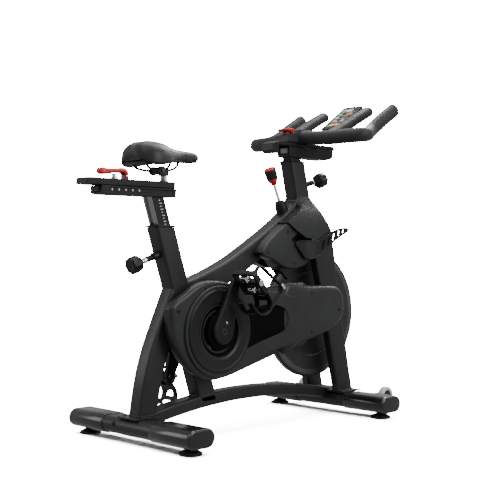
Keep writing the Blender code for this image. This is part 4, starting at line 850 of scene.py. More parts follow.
trim = rounded_rect(0.0292, 0.0352, 0.011)
socket = mm((12.5, -60), (23.5, -60), (23.2, -46), (21.5, -40), (22.5, -32), (21.5, -22), (20, -12),
    (19.5, -10), (17.8, -9.2), (17.5, -6), (16, -1.5), (14.5, 0), (8, 0), (8, -4), (12.5, -4))
piece("knob_socket", lathe(socket, BRAKE_TOP, BRAKE_UP, 64, True), BLACK, "frame", ("brake_socket",),
    cuts=[sweep(smooth_path(BEAM_LINE), trim, Y)], smooth=35)
nut = mm((4.6, -23), (12.2, -23), (12.2, -10), (4.6, -10))
piece("push_nut", lathe(nut, BRAKE_TOP, BRAKE_UP, 6, True), STEEL, "brake_push", ("brake_nut",), bevel=0.0005)
spindle = mm((0, -166), (3.8, -166), (4.5, -163), (4.5, -22), (4.5, 4.2))
spindle += [(0.0059 + 0.00045 * math.cos(2 * math.pi * k / 6), 0.0042 + 0.0009 * k) for k in range(1, 60)]
spindle += mm((5, 59), (5, 61.8), (0, 61.8))
piece("spindle", lathe(spindle, BRAKE_TOP, BRAKE_UP, 40), CHROME, "brake_knob", ("brake_rod",), smooth=50)
cone = mm((0, 62), (6.6, 62), (8.6, 64), (16.8, 79.5), (19, 83.5), (19.7, 85.6), (19.7, 87.5), (0, 87.5))
piece("knob_cone", lathe(cone, BRAKE_TOP, BRAKE_UP, 64), RED, "brake_knob", ("brake_grip",), smooth=35)
u, v, w = frame_of(BRAKE_UP)
rings = []
for h, r, deep in mm((86.8, 17, 0), (87, 19.6, 0), (88.5, 20.4, 1), (102, 21.6, 1.3), (118, 22, 1.3),
    (120, 21.6, 1), (121.2, 20.5, 0), (121.4, 18, 0)):
    ring = []
    for k in range(144):
        a = 2 * math.pi * k / 144
        s = r - deep * (0.5 - 0.5 * math.cos(18 * a)) ** 2
        ring.append(BRAKE_TOP + w * h + (u * math.cos(a) + v * math.sin(a)) * s)
    rings.append(ring)
piece("knob_ribs", loft(rings), RUBBER, "brake_knob", smooth=40)
cap = mm((0, 120.6), (19.5, 120.6), (20.8, 121.2), (21.2, 122.8), (20.8, 125), (19, 126.8), (15.5, 127.8),
    (8, 128.4), (0, 128.7))
piece("knob_cap", lathe(cap, BRAKE_TOP, BRAKE_UP, 64), RED, "brake_knob", smooth=40)

# ---- cranks and pedals
piece("axle_bar", rod(CRANK, Y, 0.0124, -0.0836, 0.0836, 48), STEEL, "crank", ("crank_axle",), bevel=0.0006)


def arm_outline(tip, hub_r, tip_r):
    """A crank arm seen from the side: two circles and their tangents."""
    way = math.degrees(math.atan2(tip.z - CRANK.z, tip.x - CRANK.x))
    spread = math.degrees(math.acos((hub_r - tip_r) / CRANK_LENGTH))
    hub = arc(CRANK.x, CRANK.z, hub_r, way + spread, way + 360 - spread, 48)
    return hub + arc(tip.x, tip.z, tip_r, way - spread, way + spread, 24)


for hand, side, tip in (("right", -1, RIGHT_PEDAL), ("left", 1, LEFT_PEDAL)):
    inner, outer = side * CRANK_INNER_Y, side * (CRANK_INNER_Y + 0.0178)
    body = pillow(arm_outline(tip, 0.044, 0.0165), inner, outer, 0.0065, 6)
    way = (tip - CRANK).normalized()
    eye = rod(Vector((tip.x, 0, tip.z)), Y, 0.0074, *sorted((inner * 0.9, outer * 1.1)), 40)
    name = f"crank_{hand}"
    piece(f"arm_{hand}", body, BLACK, "crank", (name,), cuts=[eye], smooth=32)
    boss = sided(side, (0, 84.1), (60, 84.1), (62, 85.5), (62, 95), (60.5, 97.2), (57, 98.5), (0, 98.5))
    # The crank's boss is black plastic, made darker still with painted shade for the shade in the cover's
    # hole.
    piece(f"arm_boss_{hand}", lathe(boss, CRANK, Y, 96), PAINTED_SHADE, "crank", smooth=32)
    rows = sided(side, (0, -3), (12.5, -3), (12.5, 0.4), (11.2, 1.4), (6, 1.2), (5.2, -0.6), (0, -0.6))
    cap = [(r, outer + h) for r, h in rows]
    piece(f"arm_cap_{hand}", lathe(cap, CRANK, Y, 48), DARK_STEEL, "crank", smooth=32)
    bolt = CRANK + way * 0.03 + Y * outer
    screw(f"arm_bolt_{hand}", bolt, Y * side, "crank", 0.0045, STEEL)
    pieces = [(0.0072, inner + side * 0.002), (0.0072, outer + side * 0.0012), (0.01, outer + side * 0.0014),
        (0.01, outer + side * 0.0046), (0.006, outer + side * 0.005), (0.006, side * 0.2235),
        (0.0052, side * 0.224), (0, side * 0.224)]
    piece(f"spindle_{hand}", lathe([(0, inner + side * 0.002), *pieces], Vector((tip.x, 0, tip.z)), Y, 40),
        STEEL, "crank", (f"pedal_axle_{hand}",), smooth=32)

    ride = f"pedal_{hand}"
    place = Matrix.Translation(Vector((tip.x, 0.0, tip.z))) @ Matrix.Rotation(-PEDAL_PITCH, 4, "Y")

    def put(bm):
        """Moves a pedal part from its own frame to its place."""
        bmesh.ops.transform(bm, matrix=place, verts=bm.verts)
        return bm

    y0, y1 = sorted((side * 0.12, side * 0.222))
    mid = (y0 + y1) / 2
    plan = rounded_rect(*PEDAL_HALF, 0.01)
    rows = mm((-10, -2), (-9.2, -0.4), (-7, 0), (7, 0), (9.2, -0.4), (10, -2))
    rings = [grown_ring(plan, PEDAL_HALF, g, mid, z) for z, g in rows]
    cuts = []
    for near, far in mm((-38.5, -12.5), (12.5, 38.5)):
        for low, high in ((y0 + 0.008, mid - 0.003), (mid + 0.003, y1 - 0.008)):
            cuts.append(put(block((near, low, -0.03), (far, high, 0.03))))
    cuts.append(put(rod(Vector(), Y, 0.0063, -0.25, 0.25, 40)))
    piece(f"platform_{hand}", put(loft(rings)), SATIN, ride, (f"pedal_body_{hand}",), cuts=cuts, bevel=0.001,
        seg=2, smooth=35)
    for k in range(10):
        x = (-0.0435, 0.0435)[k % 2]
        y = y0 + 0.013 + 0.019 * (k // 2)
        tread = put(block((x - 0.0022, y - 0.0045, 0.009), (x + 0.0022, y + 0.0045, 0.0118)))
        piece(f"tread_{hand}_{k}", tread, SATIN, ride, bevel=0.0006, seg=1)
    sleeve = sided(side, (6.4, 116.5), (13, 116.5), (13.8, 118.5), (12, 130), (11.2, 170), (12, 211),
        (13.8, 220.5), (12.8, 223), (6.4, 223))
    piece(f"barrel_{hand}", put(lathe(sleeve, Vector(), Y, 48, True)), BLACK, ride, smooth=40)
    end = sided(side, (0, 222.5), (9.8, 222.5), (10.2, 223.8), (9, 225.2), (4, 225.6), (0, 225.6))
    piece(f"barrel_cap_{hand}", put(lathe(end, Vector(), Y, 40)), CHROME, ride, smooth=40)

    # The cleat clip on the face away from the cage: two jaws with their cross pins, and two springs.
    for k, (near, far, tall) in enumerate(mm((-36, -14, 18.5), (14, 34, 16))):
        jaw = rounded_rect((far - near) / 2, 0.0155, 0.004)
        rows = [(0.006, 0.9), (-0.01, 1.0), (0.002 - tall, 0.92), (-tall, 0.8)]
        rings = [[Vector(((near + far) / 2 + a * s, mid + b * s, z)) for a, b in jaw] for z, s in rows]
        notch = put(block((-0.02 if k == 0 else 0.006, mid - 0.0075, -0.03),
            (0.0 if k == 0 else 0.022, mid + 0.0075, -0.0125)))
        piece(f"jaw_{hand}_{k}", put(loft(rings)), CHROME, ride, cuts=[notch], bevel=0.0009, seg=2)
        pin = put(rod(Vector(((near + far) / 2, mid, -0.0085)), Y, 0.0032, -0.019, 0.019, 24))
        piece(f"jaw_pin_{hand}_{k}", pin, STEEL, ride, bevel=0.0005)
    for k, sign in enumerate((-1, 1)):
        coil = []
        for i in range(97):
            a = 2 * math.pi * i / 16
            coil.append(Vector((-0.025 + 0.0062 * math.cos(a), mid + sign * (0.01 + 0.0085 * i / 96),
                -0.0085 + 0.0062 * math.sin(a))))
        piece(f"coil_{hand}_{k}", put(sweep(coil, oval(0.0011, 0.0011, 8), Y)), CHROME, ride, smooth=60)

    # The toe cage: two bent bands, three bridges and a strap with its buckle.
    cage = side_line((15, 12.4), (47, 12), (85, 6), (104, -14), (100, -44), (72, -62), (36, -60))
    cage = smooth_path(cage, 8)
    spread = (0.023, 0.026, 0.029, 0.03, 0.028, 0.025, 0.021)
    for k, sign in enumerate((-1, 1)):
        path = []
        for i, p in enumerate(cage):
            t = i / 8
            low = min(int(t), 5)
            path.append(p + Y * (mid + sign * (spread[low] + (spread[low + 1] - spread[low]) * (t - low))))
        piece(f"cage_{hand}_{k}", put(sweep(path, rounded_rect(0.0115, 0.0028, 0.0022, 4), Y)), SATIN, ride,
            (f"pedal_cage_{hand}",) if k == 0 else (), smooth=45)
    for k, i in enumerate((14, 24, 40)):
        reach = 0.033 - 0.003 * k
        at = cage[i]
        along = (cage[i + 1] - cage[i - 1]).normalized()
        across = along.cross(Y)
        rings = [ring_at(at + Y * (mid + reach * s), along, across, rounded_rect(0.0085, 0.0024, 0.0018, 4))
            for s in (-1, -0.5, 0, 0.5, 1)]
        piece(f"cage_bridge_{hand}_{k}", put(loft(rings)), SATIN, ride, smooth=45)
    y = mid + side * 0.034
    loop = mm((-30, 6), (-36, 36), (-20, 50), (30, 62), (80, 74), (95, 64), (99, 42), (102, 10), (103, -10))
    belt_path = smooth_path([Vector((a, y, b)) for a, b in loop], 7)
    piece(f"strap_{hand}", put(sweep(belt_path, rounded_rect(0.009, 0.002, 0.0012, 3), Y)), RUBBER, ride,
        smooth=45)
    buckle = put(block((0.077, y - 0.011, 0.07), (0.096, y + 0.011, 0.0795)))
    slot = put(block((0.081, y - 0.006, 0.06), (0.092, y + 0.006, 0.09)))
    piece(f"buckle_{hand}", buckle, CHROME, ride, cuts=[slot], bevel=0.0008, seg=2)

# ---- posts, collars and pull pins
def slider_post(name, along, lean, low, high, way, body, stands, mat):
    """An extruded post with a locking groove and shallow flutes."""
    tall = (high + 0.02, low - 0.02)
    cuts = [sweep([along(z) + way * POST[0] for z in tall], rounded_rect(0.008, 0.005, 0.001), Y)]
    for side in (-1, 1):
        for shift in (-0.012, 0.012):
            line = [along(z) + Y * (side * POST[1]) + way.normalized() * shift for z in tall]
            cuts.append(sweep(line, rounded_rect(0.0016, 0.0009, 0.0004, 3), X))
    piece(name, column(along, lean, (high, low), *POST), mat, body, stands, cuts=cuts, smooth=32)


def level_collar(name, along, lean, top, body, stands):
    """A plastic collar with a level top, a shadow line and a lip around the post."""
    rings = []
    for z, g in mm((0.3, -1), (0.6, 2), (1.2, 3), (1.8, 3.5), (4.8, 3.5), (5.8, 3), (6.3, 1.8), (6.3, -1),
        (6.8, -2.2), (6.8, -4.5)):
        section = rounded_rect((TUBE[0] + g) / math.cos(lean), TUBE[1] + g, TUBE[2] + g * 0.6)
        rings.append(ring_at(along(top + z), X, Y, section))
    hole = column(along, lean, (top + 0.03, top - 0.03), POST[0] + 0.0004, POST[1] + 0.0004, POST[2])
    piece(name, loft(rings), BLACK, body, stands, cuts=[hole], smooth=35)


def pull_knob(name, base, way):
    """A lobed pull knob on its plunger."""
    plunger = mm((0, 90), (8.8, 90.5), (9.5, 91.5), (9.5, 99), (8.8, 100.5), (7.8, 103), (7.8, 120), (0, 120))
    piece(f"{name}_plunger", lathe(plunger, base, way, 56), CHROME, name, (name,), smooth=32)
    barrel = mm((0, 25.5), (5, 25.5), (6, 27), (6, 66), (9.2, 66.5), (10, 67.5), (10, 72), (9.2, 72.8),
        (9.2, 74.8), (10, 75.6), (10, 90), (9.2, 91.5), (0, 91.5))
    piece(f"{name}_barrel", lathe(barrel, base, way, 56), BLACK, name, smooth=32)
    piece(f"{name}_skirt", lathe(mm((7.1, 109.5), (11.5, 110), (15, 113), (16.5, 120), (7.1, 121)), base, way,
        56, True), BLACK, name, smooth=32)
    u, v = Y, way.cross(Y)
    rings = []
    for h, s in ((0.116, 0.55), (0.1175, 0.74), (0.12, 0.88), (0.124, 0.96), (0.129, 1.0), (0.15, 1.0),
        (0.153, 0.985), (0.1552, 0.95), (0.1568, 0.88), (0.1576, 0.8), (0.1578, 0.66), (0.1572, 0.6),
        (0.157, 0.56)):
        ring = []
        for k in range(128):
            a = 2 * math.pi * k / 128
            radius = (0.0268 + 0.0018 * math.cos(8 * a)) * s if s > 0.7 else 0.0268 * s
            ring.append(base + way * h + u * (radius * math.cos(a)) + v * (radius * math.sin(a)))
        rings.append(ring)
    piece(f"{name}_knob", loft(rings), SATIN, name, smooth=34)


level_collar("collar_seat", along_seat, SEAT_LEAN, SEAT_TOP_Z, "frame", ("seat_collar",))
level_collar("collar_head", along_head, HEAD_LEAN, HEAD_TOP_Z, "frame", ("head_collar",))
slider_post("post_seat", along_seat, SEAT_LEAN, 0.49, 0.7777, SEAT_BACK, "seat_post", ("seat_post",), ALLOY)
for hand, side in HANDS:
    strip = [(a, side * b) for a, b in mm((-24.5, 21), (24.5, 21), (24.5, 22.25), (-24.5, 22.25))]
    piece(f"post_strip_{hand}", loft([ring_at(along_seat(z), X, Y, strip) for z in (0.49, 0.7776)]), BLACK,
        "seat_post")
slider_post("post_bar", along_head, HEAD_LEAN, 0.745, 0.9502, HEAD_FRONT, "bar_post", ("bar_post",),
    DARK_ALLOY)
pull_knob("seat_pin", SEAT_PIN_BASE, SEAT_BACK)
pull_knob("head_pin", HEAD_PIN_BASE, HEAD_FRONT)
for k in range(28):
    z = 0.51 + 0.0095 * k
    at = along_seat(z)
    reach = 0.006 if k % 2 else 0.01
    mark = block((at.x + 0.001, -0.02238, z), (at.x + 0.001 + reach, -0.0221, z + 0.0022))
    piece(f"height_mark_{k}", mark, WHITE, "seat_post")


# ---- seat slider and lever
def rail_body(name, outline, half, mat, body, stands=(), cuts=(), edge=0.003):
    """A slider part: an outline with the same width on both sides of the middle."""
    return piece(name, prism(outline, -half, half), mat, body, stands, cuts=cuts, bevel=edge, smooth=35)


guide = mm((-612, 778), (-327, 778), (-324, 806), (-620, 806), (-621, 784))
cuts = [block((-0.7, -0.0198, 0.7865), (-0.3, 0.0198, 0.83))]
for side in (-1, 1):
    slot = [*arc(-0.587, 0.7945, 0.0048, 90, 270, 12), *arc(-0.342, 0.7945, 0.0048, -90, 90, 12)]
    cuts.append(slab(slot, side, 0.0275, 0.04))
rail_body("guide_seat", guide, 0.03, BLACK, "seat_post", ("seat_guide",), cuts=cuts, edge=0.0018)
for hand, side in HANDS:
    for k in range(5):
        x = -0.5823 + 0.0263 * k
        near, far = sorted((side * 0.0274, side * 0.0279))
        mark = block((x, near, 0.7915), (x + 0.004, far, 0.7975))
        piece(f"slider_mark_{k}_{hand}", mark, WHITE, "seat_post")
piece("guide_end_plug", block((-0.6235, -0.0185, 0.787), (-0.617, 0.0185, 0.8045)), BLACK, "seat_post",
    bevel=0.0015)
carriage = mm((-676, 806.5), (-329, 806.5), (-327, 828), (-645, 828), (-675, 827.5))
rail_body("carriage_seat", carriage, 0.029, BLACK, "seat_carriage", ("seat_carriage",), edge=0.0028)
piece("carriage_runner", block((-0.565, -0.0195, 0.788), (-0.337, 0.0195, 0.809)), DARK_STEEL,
    "seat_carriage", bevel=0.0012)
piece("carriage_rib", block((-0.655, -0.018, 0.8272), (-0.6, 0.018, 0.8292)), BLACK, "seat_carriage",
    bevel=0.0008)
ear = [*arc(-0.512, 0.839, 0.0085, 0, 180, 24), (-0.5205, 0.826), (-0.5035, 0.826)]
piece("lever_ear", prism(ear, -0.0094, 0.0094), DARK_STEEL, "seat_carriage", bevel=0.0008)
piece("lever_pin", rod(SEAT_LEVER_PIVOT, Y, 0.004, -0.0155, 0.0155, 32), CHROME, "seat_carriage",
    bevel=0.0007)
column_profile = mm((0, 828.3), (11.2, 828.3), (11.8, 829), (11.8, 831.8), (11, 832.8), (8.2, 834), (8, 835),
    (8, 844), (7.4, 844.8), (0, 845))
piece("silver_column", lathe(column_profile, Vector((-0.552, 0.0, 0.0)), Z, 48), CHROME, "seat_carriage",
    ("lever_block",), smooth=32)
line = smooth_path(side_line((-512, 832.5), (-512, 847), (-524, 856), (-552, 854.5), (-580, 851), (-600, 851),
    (-612, 852)), 7)
sizes = smooth_path(vectors((13.5, 7.5, 0), (14.5, 8, 0), (14.5, 8, 0), (12, 6.6, 0), (13, 8.5, 0),
    (13.5, 10.8, 0), (10, 8.5, 0)), 7)
shapes = [rounded_rect(s.x, s.y, min(0.006, s.y * 0.9), 6) for s in sizes]
line.append(line[-1] + Vector((-0.003, 0, 0.0004)))
shapes.append(rounded_rect(0.007, 0.002, 0.0018, 6))
cuts = [block((-0.53, -0.01, 0.82), (-0.49, 0.01, 0.8476)), rod(SEAT_LEVER_PIVOT, Y, 0.0042, -0.03, 0.03, 32)]
piece("cam_lever", sweep(line, shapes, Y), RED, "seat_lever", ("seat_lever",), cuts=cuts, smooth=45)
stem = Vector((-0.354, 0.0, 0.0))
piece("stem", lathe(mm((0, 828.3), (14.5, 828.3), (14.5, 831), (13.5, 832), (11, 833), (11, 867.5),
    (0, 867.8)), stem, Z, 56), ALLOY, "seat_carriage", ("saddle_stem",), smooth=32)
clamp = mm((0, 848), (15, 848), (16.5, 849.5), (16.5, 870), (15, 872), (0, 872))
piece("clamp", lathe(clamp, stem, Z, 56), SATIN, "seat_carriage", ("saddle_clamp",),
    joins=[rod(SADDLE_PIVOT, Y, 0.012, -0.0155, 0.0155, 48)],
    cuts=[rod(SADDLE_PIVOT, Y, 0.0042, -0.03, 0.03, 32), rod(stem, Z, 0.0113, 0.8, 0.8682, 48)], bevel=0.0006,
    seg=2, smooth=32)

# ---- saddle
for hand, side in HANDS:
    points = mm((-452, 36, 898.5), (-446, 32, 874), (-420, 24, 864.5), (-380, 21.5, 863), (-345, 21.5, 866),
        (-318, 21, 879), (-300, 18, 909))
    path = smooth_path([Vector((x, side * y, z)) for x, y, z in points], 8)
    piece(f"rail_{hand}", sweep(path, oval(0.0042, 0.0042, 20), Z + X * 0.2), SATIN, "saddle",
        ("saddle_rails",) if side < 0 else (), smooth=60)
    low, high = sorted((side * 0.0162, side * 0.0275))
    knurl = [(0, low), (0.0132, low), (0.0145, low + 0.0012), (0.0145, high - 0.0012), (0.0132, high),
        (0, high)]
    piece(f"cheek_{hand}", lathe(knurl, SADDLE_PIVOT, Y, 56), SATIN, "saddle", smooth=32)
    nut = lathe(sided(side, (0, 27), (7, 27), (7.6, 27.8), (7.6, 31.2), (7, 32), (0, 32)), SADDLE_PIVOT, Y, 6)
    piece(f"cheek_nut_{hand}", nut, DARK_STEEL, "saddle", bevel=0.0004)
piece("clamp_bolt", rod(SADDLE_PIVOT, Y, 0.0039, -0.033, 0.033, 32), DARK_STEEL, "saddle", bevel=0.0006)

SADDLE = vectors((-488, 40, 928), (-478, 64, 944), (-454, 81, 956), (-420, 84, 957), (-380, 72, 953),
    (-345, 50, 945), (-305, 34, 939), (-260, 27, 937), (-230, 24, 935), (-214, 17, 930))
SKIRT = [Vector((z, 0, 0)) for z in (0.9, 0.886, 0.879, 0.88, 0.888, 0.895, 0.899, 0.9, 0.9005, 0.903)]


def saddle_point(x, half, crown, skirt, a, shrink=0.0):
    """A point over the saddle's hump, a being 0 on its right edge and pi on its left edge."""
    y = -half * math.copysign(abs(math.cos(a)) ** 0.86, math.cos(a))
    z = skirt + (crown - skirt) * math.sin(a) ** 0.62
    if half > 0.03:
        z -= 0.0065 * min(1.0, (half - 0.03) / 0.03) * math.exp(-((y / 0.011) ** 2))
    else:
        z -= 0.0025 * math.exp(-((y / 0.008) ** 2))
    return Vector((x, y * (1 - shrink / half), z - shrink))


rows = list(zip(smooth_path(SADDLE, 6), smooth_path(SKIRT, 6)))


def saddle_rings(shrink):
    """The cushion's sections, with a rounded tail and nose."""
    rings = []
    for s, k in rows:
        top = [saddle_point(s.x, s.y, s.z, k.x, math.pi * i / 36, shrink) for i in range(37)]
        under = [Vector((s.x, (s.y - shrink) * (1 - 2 * i / 12),
            k.x + shrink * 0.4 + 0.0035 * math.sin(math.pi * i / 12))) for i in range(1, 12)]
        rings.append(top + under)
    first, last = rings[0], rings[-1]
    mid = sum(first, Vector()) / len(first)
    tail = [[p.lerp(mid, f) + X * -d for p in first] for f, d in ((0.45, 0.0016), (0.18, 0.001))]
    mid = sum(last, Vector()) / len(last)
    nose = [[p.lerp(mid, f) + X * d for p in last] for f, d in ((0.18, 0.0012), (0.45, 0.002))]
    return tail + rings + nose


pad = solid("cushion", loft(saddle_rings(0.0022)))
modify(pad, "REMESH", mode="VOXEL", voxel_size=0.004)
rest = [v.co.copy() for v in pad.data.vertices]
held = pad.vertex_groups.new(name="held")
for v in pad.data.vertices:
    local = min(rows, key=lambda row: abs(row[0].x + OFFSET.x - v.co.x))
    if v.co.z < local[1].x + 0.008:
        held.add([v.index], 1.0, "REPLACE")
cloth = pad.modifiers.new("cloth", "CLOTH")
cloth.settings.quality = 6
cloth.settings.mass = 0.3
cloth.settings.tension_stiffness = cloth.settings.compression_stiffness = 40.0
cloth.settings.bending_stiffness = 2.0
cloth.settings.use_pressure = True
cloth.settings.uniform_pressure_force = 3.0
cloth.settings.vertex_group_mass = "held"
cloth.settings.effector_weights.gravity = 0.0
for number in range(1, 15):
    bpy.context.scene.frame_set(number)
apply_modifiers(pad)
bpy.context.scene.frame_set(1)
for v, home in zip(pad.data.vertices, rest):
    move = v.co - home
    if move.length > MAX_PUFF:
        v.co = home + move.normalized() * MAX_PUFF
modify(pad, "SMOOTH", factor=0.5, iterations=4)
modify(pad, "SUBSURF", levels=1, render_levels=1)
pad.data.shade_smooth()
dress(pad, LEATHER, "saddle", ("saddle_cushion",))

bpy.context.view_layer.update()


def on_pad(point, lift):
    """The nearest place on the cushion to a point, lifted a little off it."""
    _, place, normal, _ = pad.closest_point_on_mesh(point + OFFSET)
    return place - OFFSET + normal * lift


def seam(name, angle, radius, lift):
    """A line of piping on each side, joined round the tail and the nose."""
    right = [on_pad(saddle_point(s.x, s.y, s.z, k.x, angle), lift) for s, k in rows[1:-1]]
    left = [on_pad(p, lift) for p in mirrored(right)]
    nose, tail = [], []
    for i in range(1, 8):
        a = math.pi * i / 8
        q, p = right[-1].lerp(left[-1], i / 8), right[0].lerp(left[0], i / 8)
        nose.append(on_pad(q + X * (0.016 * math.sin(a)), lift))
        tail.append(on_pad(p - X * (0.018 * math.sin(a)), lift))
    loop = dense(right + nose + left[::-1] + tail[::-1], 0.003)
    made = []
    for i, point in enumerate(loop):
        run = (loop[(i + 1) % len(loop)] - loop[i - 1]).normalized()
        u = upward(run)
        made.append(ring_at(point, u, run.cross(u), oval(radius, radius, 10)))
    piece(name, loft(made, closed=True), LEATHER, "saddle", smooth=70)
    return loop


loop = seam("saddle_piping", math.radians(22), 0.0011, -0.0003)
stitches = bmesh.new()
for i in range(0, len(loop) - 1, 2):
    a, b = loop[i], loop[i].lerp(loop[i + 1], 0.62)
    up = Z * 0.0034
    a, b = on_pad(a + up, 0.0002), on_pad(b + up, 0.0002)
    run = b - a
    if run.length < 1e-5:
        continue
    run.normalize()
    u = upward(run)
    rings = [ring_at(a.lerp(b, t), u, run.cross(u), oval(0.00035 * s, 0.00035 * s, 6))
        for t, s in ((0, 0.5), (0.2, 1), (0.8, 1), (1, 0.5))]
    thread = loft(rings)
    mesh = bpy.data.meshes.new("thread")
    thread.to_mesh(mesh)
    thread.free()
    stitches.from_mesh(mesh)
    bpy.data.meshes.remove(mesh)
piece("saddle_stitches", stitches, GRIP, "saddle", smooth=60)

rings = []
for s, k in rows[4:-4]:
    w, top = s.y - 0.0035, k.x - 0.0004
    low = k.x - 0.004
    shape = ((w, top), (w + 0.0005, top - 0.0012), (w - 0.001, low + 0.0006), (w * 0.94, low),
        (w * 0.86, low + 0.001), (w * 0.72, low + 0.006), (w * 0.35, low + 0.008), (0, low + 0.0085))
    right = [Vector((s.x + 0.001, y, z)) for y, z in shape]
    rings.append(right + mirrored(right[::-1][1:]))
piece("saddle_shell", loft(rings), BLACK, "saddle", ("saddle_base",), smooth=40)
for hand, side in HANDS:
    piece(f"rail_socket_rear_{hand}", rod(Vector((-0.4515, side * 0.0355, 0.88)),
        Vector((-0.2, side * 0.16, 1)), 0.0065, 0.0, 0.012, 28), BLACK, "saddle", bevel=0.001)

# ---- bars, stem cover and console
BAR_LINE = vectors((577, -229, 1135), (500, -230, 1089), (432, -234, 1046), (393, -249, 1027.5),
    (361, -263, 1020), (334, -260, 1017), (316, -226, 1015), (297, -130, 1014))
BAR_LINE += [Vector((0.275, 0, 1.021))] + mirrored(BAR_LINE)[::-1]


def rounded_sweep(path, shapes, round_off, both=True):
    """A sweep with domed ends."""
    marks = [0.0]
    for a, b in zip(path, path[1:]):
        marks.append(marks[-1] + (b - a).length)
    total = marks[-1]
    extra = [round_off * f for f in (0.0, 0.04, 0.12, 0.25, 0.45, 0.7, 1.0)]
    stops = sorted({*[m for m in marks if round_off < m < total - round_off], *extra,
        *[total - e for e in extra]})
    line, sections = [], []
    for stop in stops:
        i = max(k for k in range(len(marks) - 1) if marks[k] <= stop + 1e-9)
        t = (stop - marks[i]) / (marks[i + 1] - marks[i])
        near = min(stop if both else 1e9, total - stop)
        scale = 1.0 if near >= round_off else max(0.15, math.sqrt(max(0.0, 1 - (1 - near / round_off) ** 2)))
        line.append(path[i].lerp(path[i + 1], t))
        sections.append([(a * scale, b * scale) for a, b in shapes[i]])
    return sweep(line, sections, Z if shapes is BAR_SHAPES else Y)


bar_path = smooth_path(BAR_LINE, 9)


def bar_section(point, grow):
    """The bar's oval, which is flatter under the stem cover."""
    flat = max(0.0, min(1.0, (0.13 - abs(point.y)) / 0.08))
    return oval(0.0262 - 0.0015 * flat + grow, 0.0222 + grow, 36)


BAR_SHAPES = [bar_section(p, 0.0) for p in bar_path]
bars = solid("bars", rounded_sweep(bar_path, BAR_SHAPES, 0.012))
for hand, side in HANDS:
    points = mm((300, 104, 1018), (345, 106, 1028), (420, 108, 1062), (500, 110, 1104), (570, 110, 1138))
    line = smooth_path([Vector((x, side * y, z)) for x, y, z in points], 9)
    shapes = [oval(0.0225 + 0.003 * min(1.0, k / 26), 0.0195, 36, 0.85) for k in range(len(line))]
    arm = solid("arm", rounded_sweep(line, shapes, 0.006, both=False))
    modify(bars, "BOOLEAN", object=arm, operation="UNION", solver="EXACT")
    bpy.data.objects.remove(arm, do_unlink=True)
modify(bars, "REMESH", mode="VOXEL", voxel_size=0.0026)
modify(bars, "SMOOTH", factor=0.5, iterations=7)
bars.data.shade_smooth()
dress(bars, GRIP, "bar_carriage", ("handlebar",))

guide = mm((212, 947), (425, 947), (452, 955), (456, 984.6), (212, 984.6))
rail_body("guide_bar", guide, 0.031, BLACK, "bar_post", ("bar_guide",),
    cuts=[block((0.15, -0.0198, 0.958), (0.5, 0.0198, 1.0))], edge=0.002)
carriage = mm((150, 985.3), (466, 985.3), (462, 1001), (160, 1001), (150, 996))
rail_body("carriage_bar", carriage, 0.03, BLACK, "bar_carriage", ("bar_carriage",), edge=0.003)
piece("bar_runner", block((0.216, -0.0195, 0.9595), (0.42, 0.0195, 0.98)), DARK_STEEL, "bar_carriage",
    bevel=0.0012)
end = mm((128, 964), (136, 956), (160, 956), (160, 999), (150, 999), (128, 990))
rail_body("carriage_end", end, 0.029, SATIN, "bar_carriage")
cover = mm((200, 1001.5), (306, 1001.5), (305, 1040), (292, 1047.5), (262, 1047.5), (254, 1033), (214, 1030),
    (204, 1024))
grown = sweep(bar_path, [bar_section(p, 0.0004) for p in bar_path], Z)
piece("cover_stem", prism(cover, -0.034, 0.034), COVER, "bar_carriage", ("stem_cover",), cuts=[grown],
    bevel=0.0034, seg=4, smooth=35)
ear = [*arc(0.24, 1.042, 0.0058, 0, 180, 20), (0.2342, 1.026), (0.2458, 1.026)]
piece("bar_lever_ear", prism(ear, -0.0094, 0.0094), DARK_STEEL, "bar_carriage", bevel=0.0006)
piece("bar_lever_pin", rod(BAR_LEVER_PIVOT, Y, 0.003, -0.015, 0.015, 28), CHROME, "bar_carriage",
    bevel=0.0005)
outline = arc(0.24, 1.042, 0.0085, -90, 75, 20) + mm((226, 1052), (214, 1051.4), (206, 1050), (200.5, 1047.5),
    (199, 1045.5), (200.5, 1043.5), (203, 1042.5), (228, 1042))
cuts = [block((0.225, -0.0099, 1.022), (0.26, 0.0099, 1.0483)),
    rod(BAR_LEVER_PIVOT, Y, 0.0032, -0.05, 0.05, 28)]
piece("lever_bar", prism(outline, -0.0215, 0.0215), RED, "bar_lever", ("bar_lever",), cuts=cuts, bevel=0.0016,
    seg=3, smooth=38)

PLACE = Matrix.Translation(CONSOLE_MID) @ Matrix.Rotation(-CONSOLE_TILT, 4, "Y")


def placed(bm):
    """Moves a console part from its own frame to its place."""
    bmesh.ops.transform(bm, matrix=PLACE, verts=bm.verts)
    return bm


plan = rounded_rect(*CONSOLE_HALF, 0.009)
rows_c = mm((-7, -6), (-6.8, -3.5), (-5.5, -1.2), (-3, 0), (4, 0), (5.4, -0.6), (6, -2))
rings = [grown_ring(plan, CONSOLE_HALF, g, 0.0, z) for z, g in rows_c]
piece("console_case", placed(loft(rings)), SATIN, "bar_carriage", ("console",),
    cuts=[placed(block((-0.079, -0.0405, 0.005), (0.079, 0.0405, 0.02)))], smooth=32)
glass = rounded_rect(0.0788, 0.0403, 0.001, 3)
rings = [[Vector((x, y, z)) for x, y in glass] for z in (0.004, 0.0056)]
piece("console_glass", placed(loft(rings)), GLASS, "bar_carriage", smooth=32)

SEGMENTS = {0: "abcdef", 1: "bc", 2: "abged", 3: "abgcd", 4: "fgbc", 5: "afgcd", 6: "afgedc", 7: "abc",
    8: "abcdefg", 9: "abcdfg"}
print_jobs = {LIT_WHITE: [], LIT_GREEN: [], LIT_RED: [], LIT_AMBER: []}


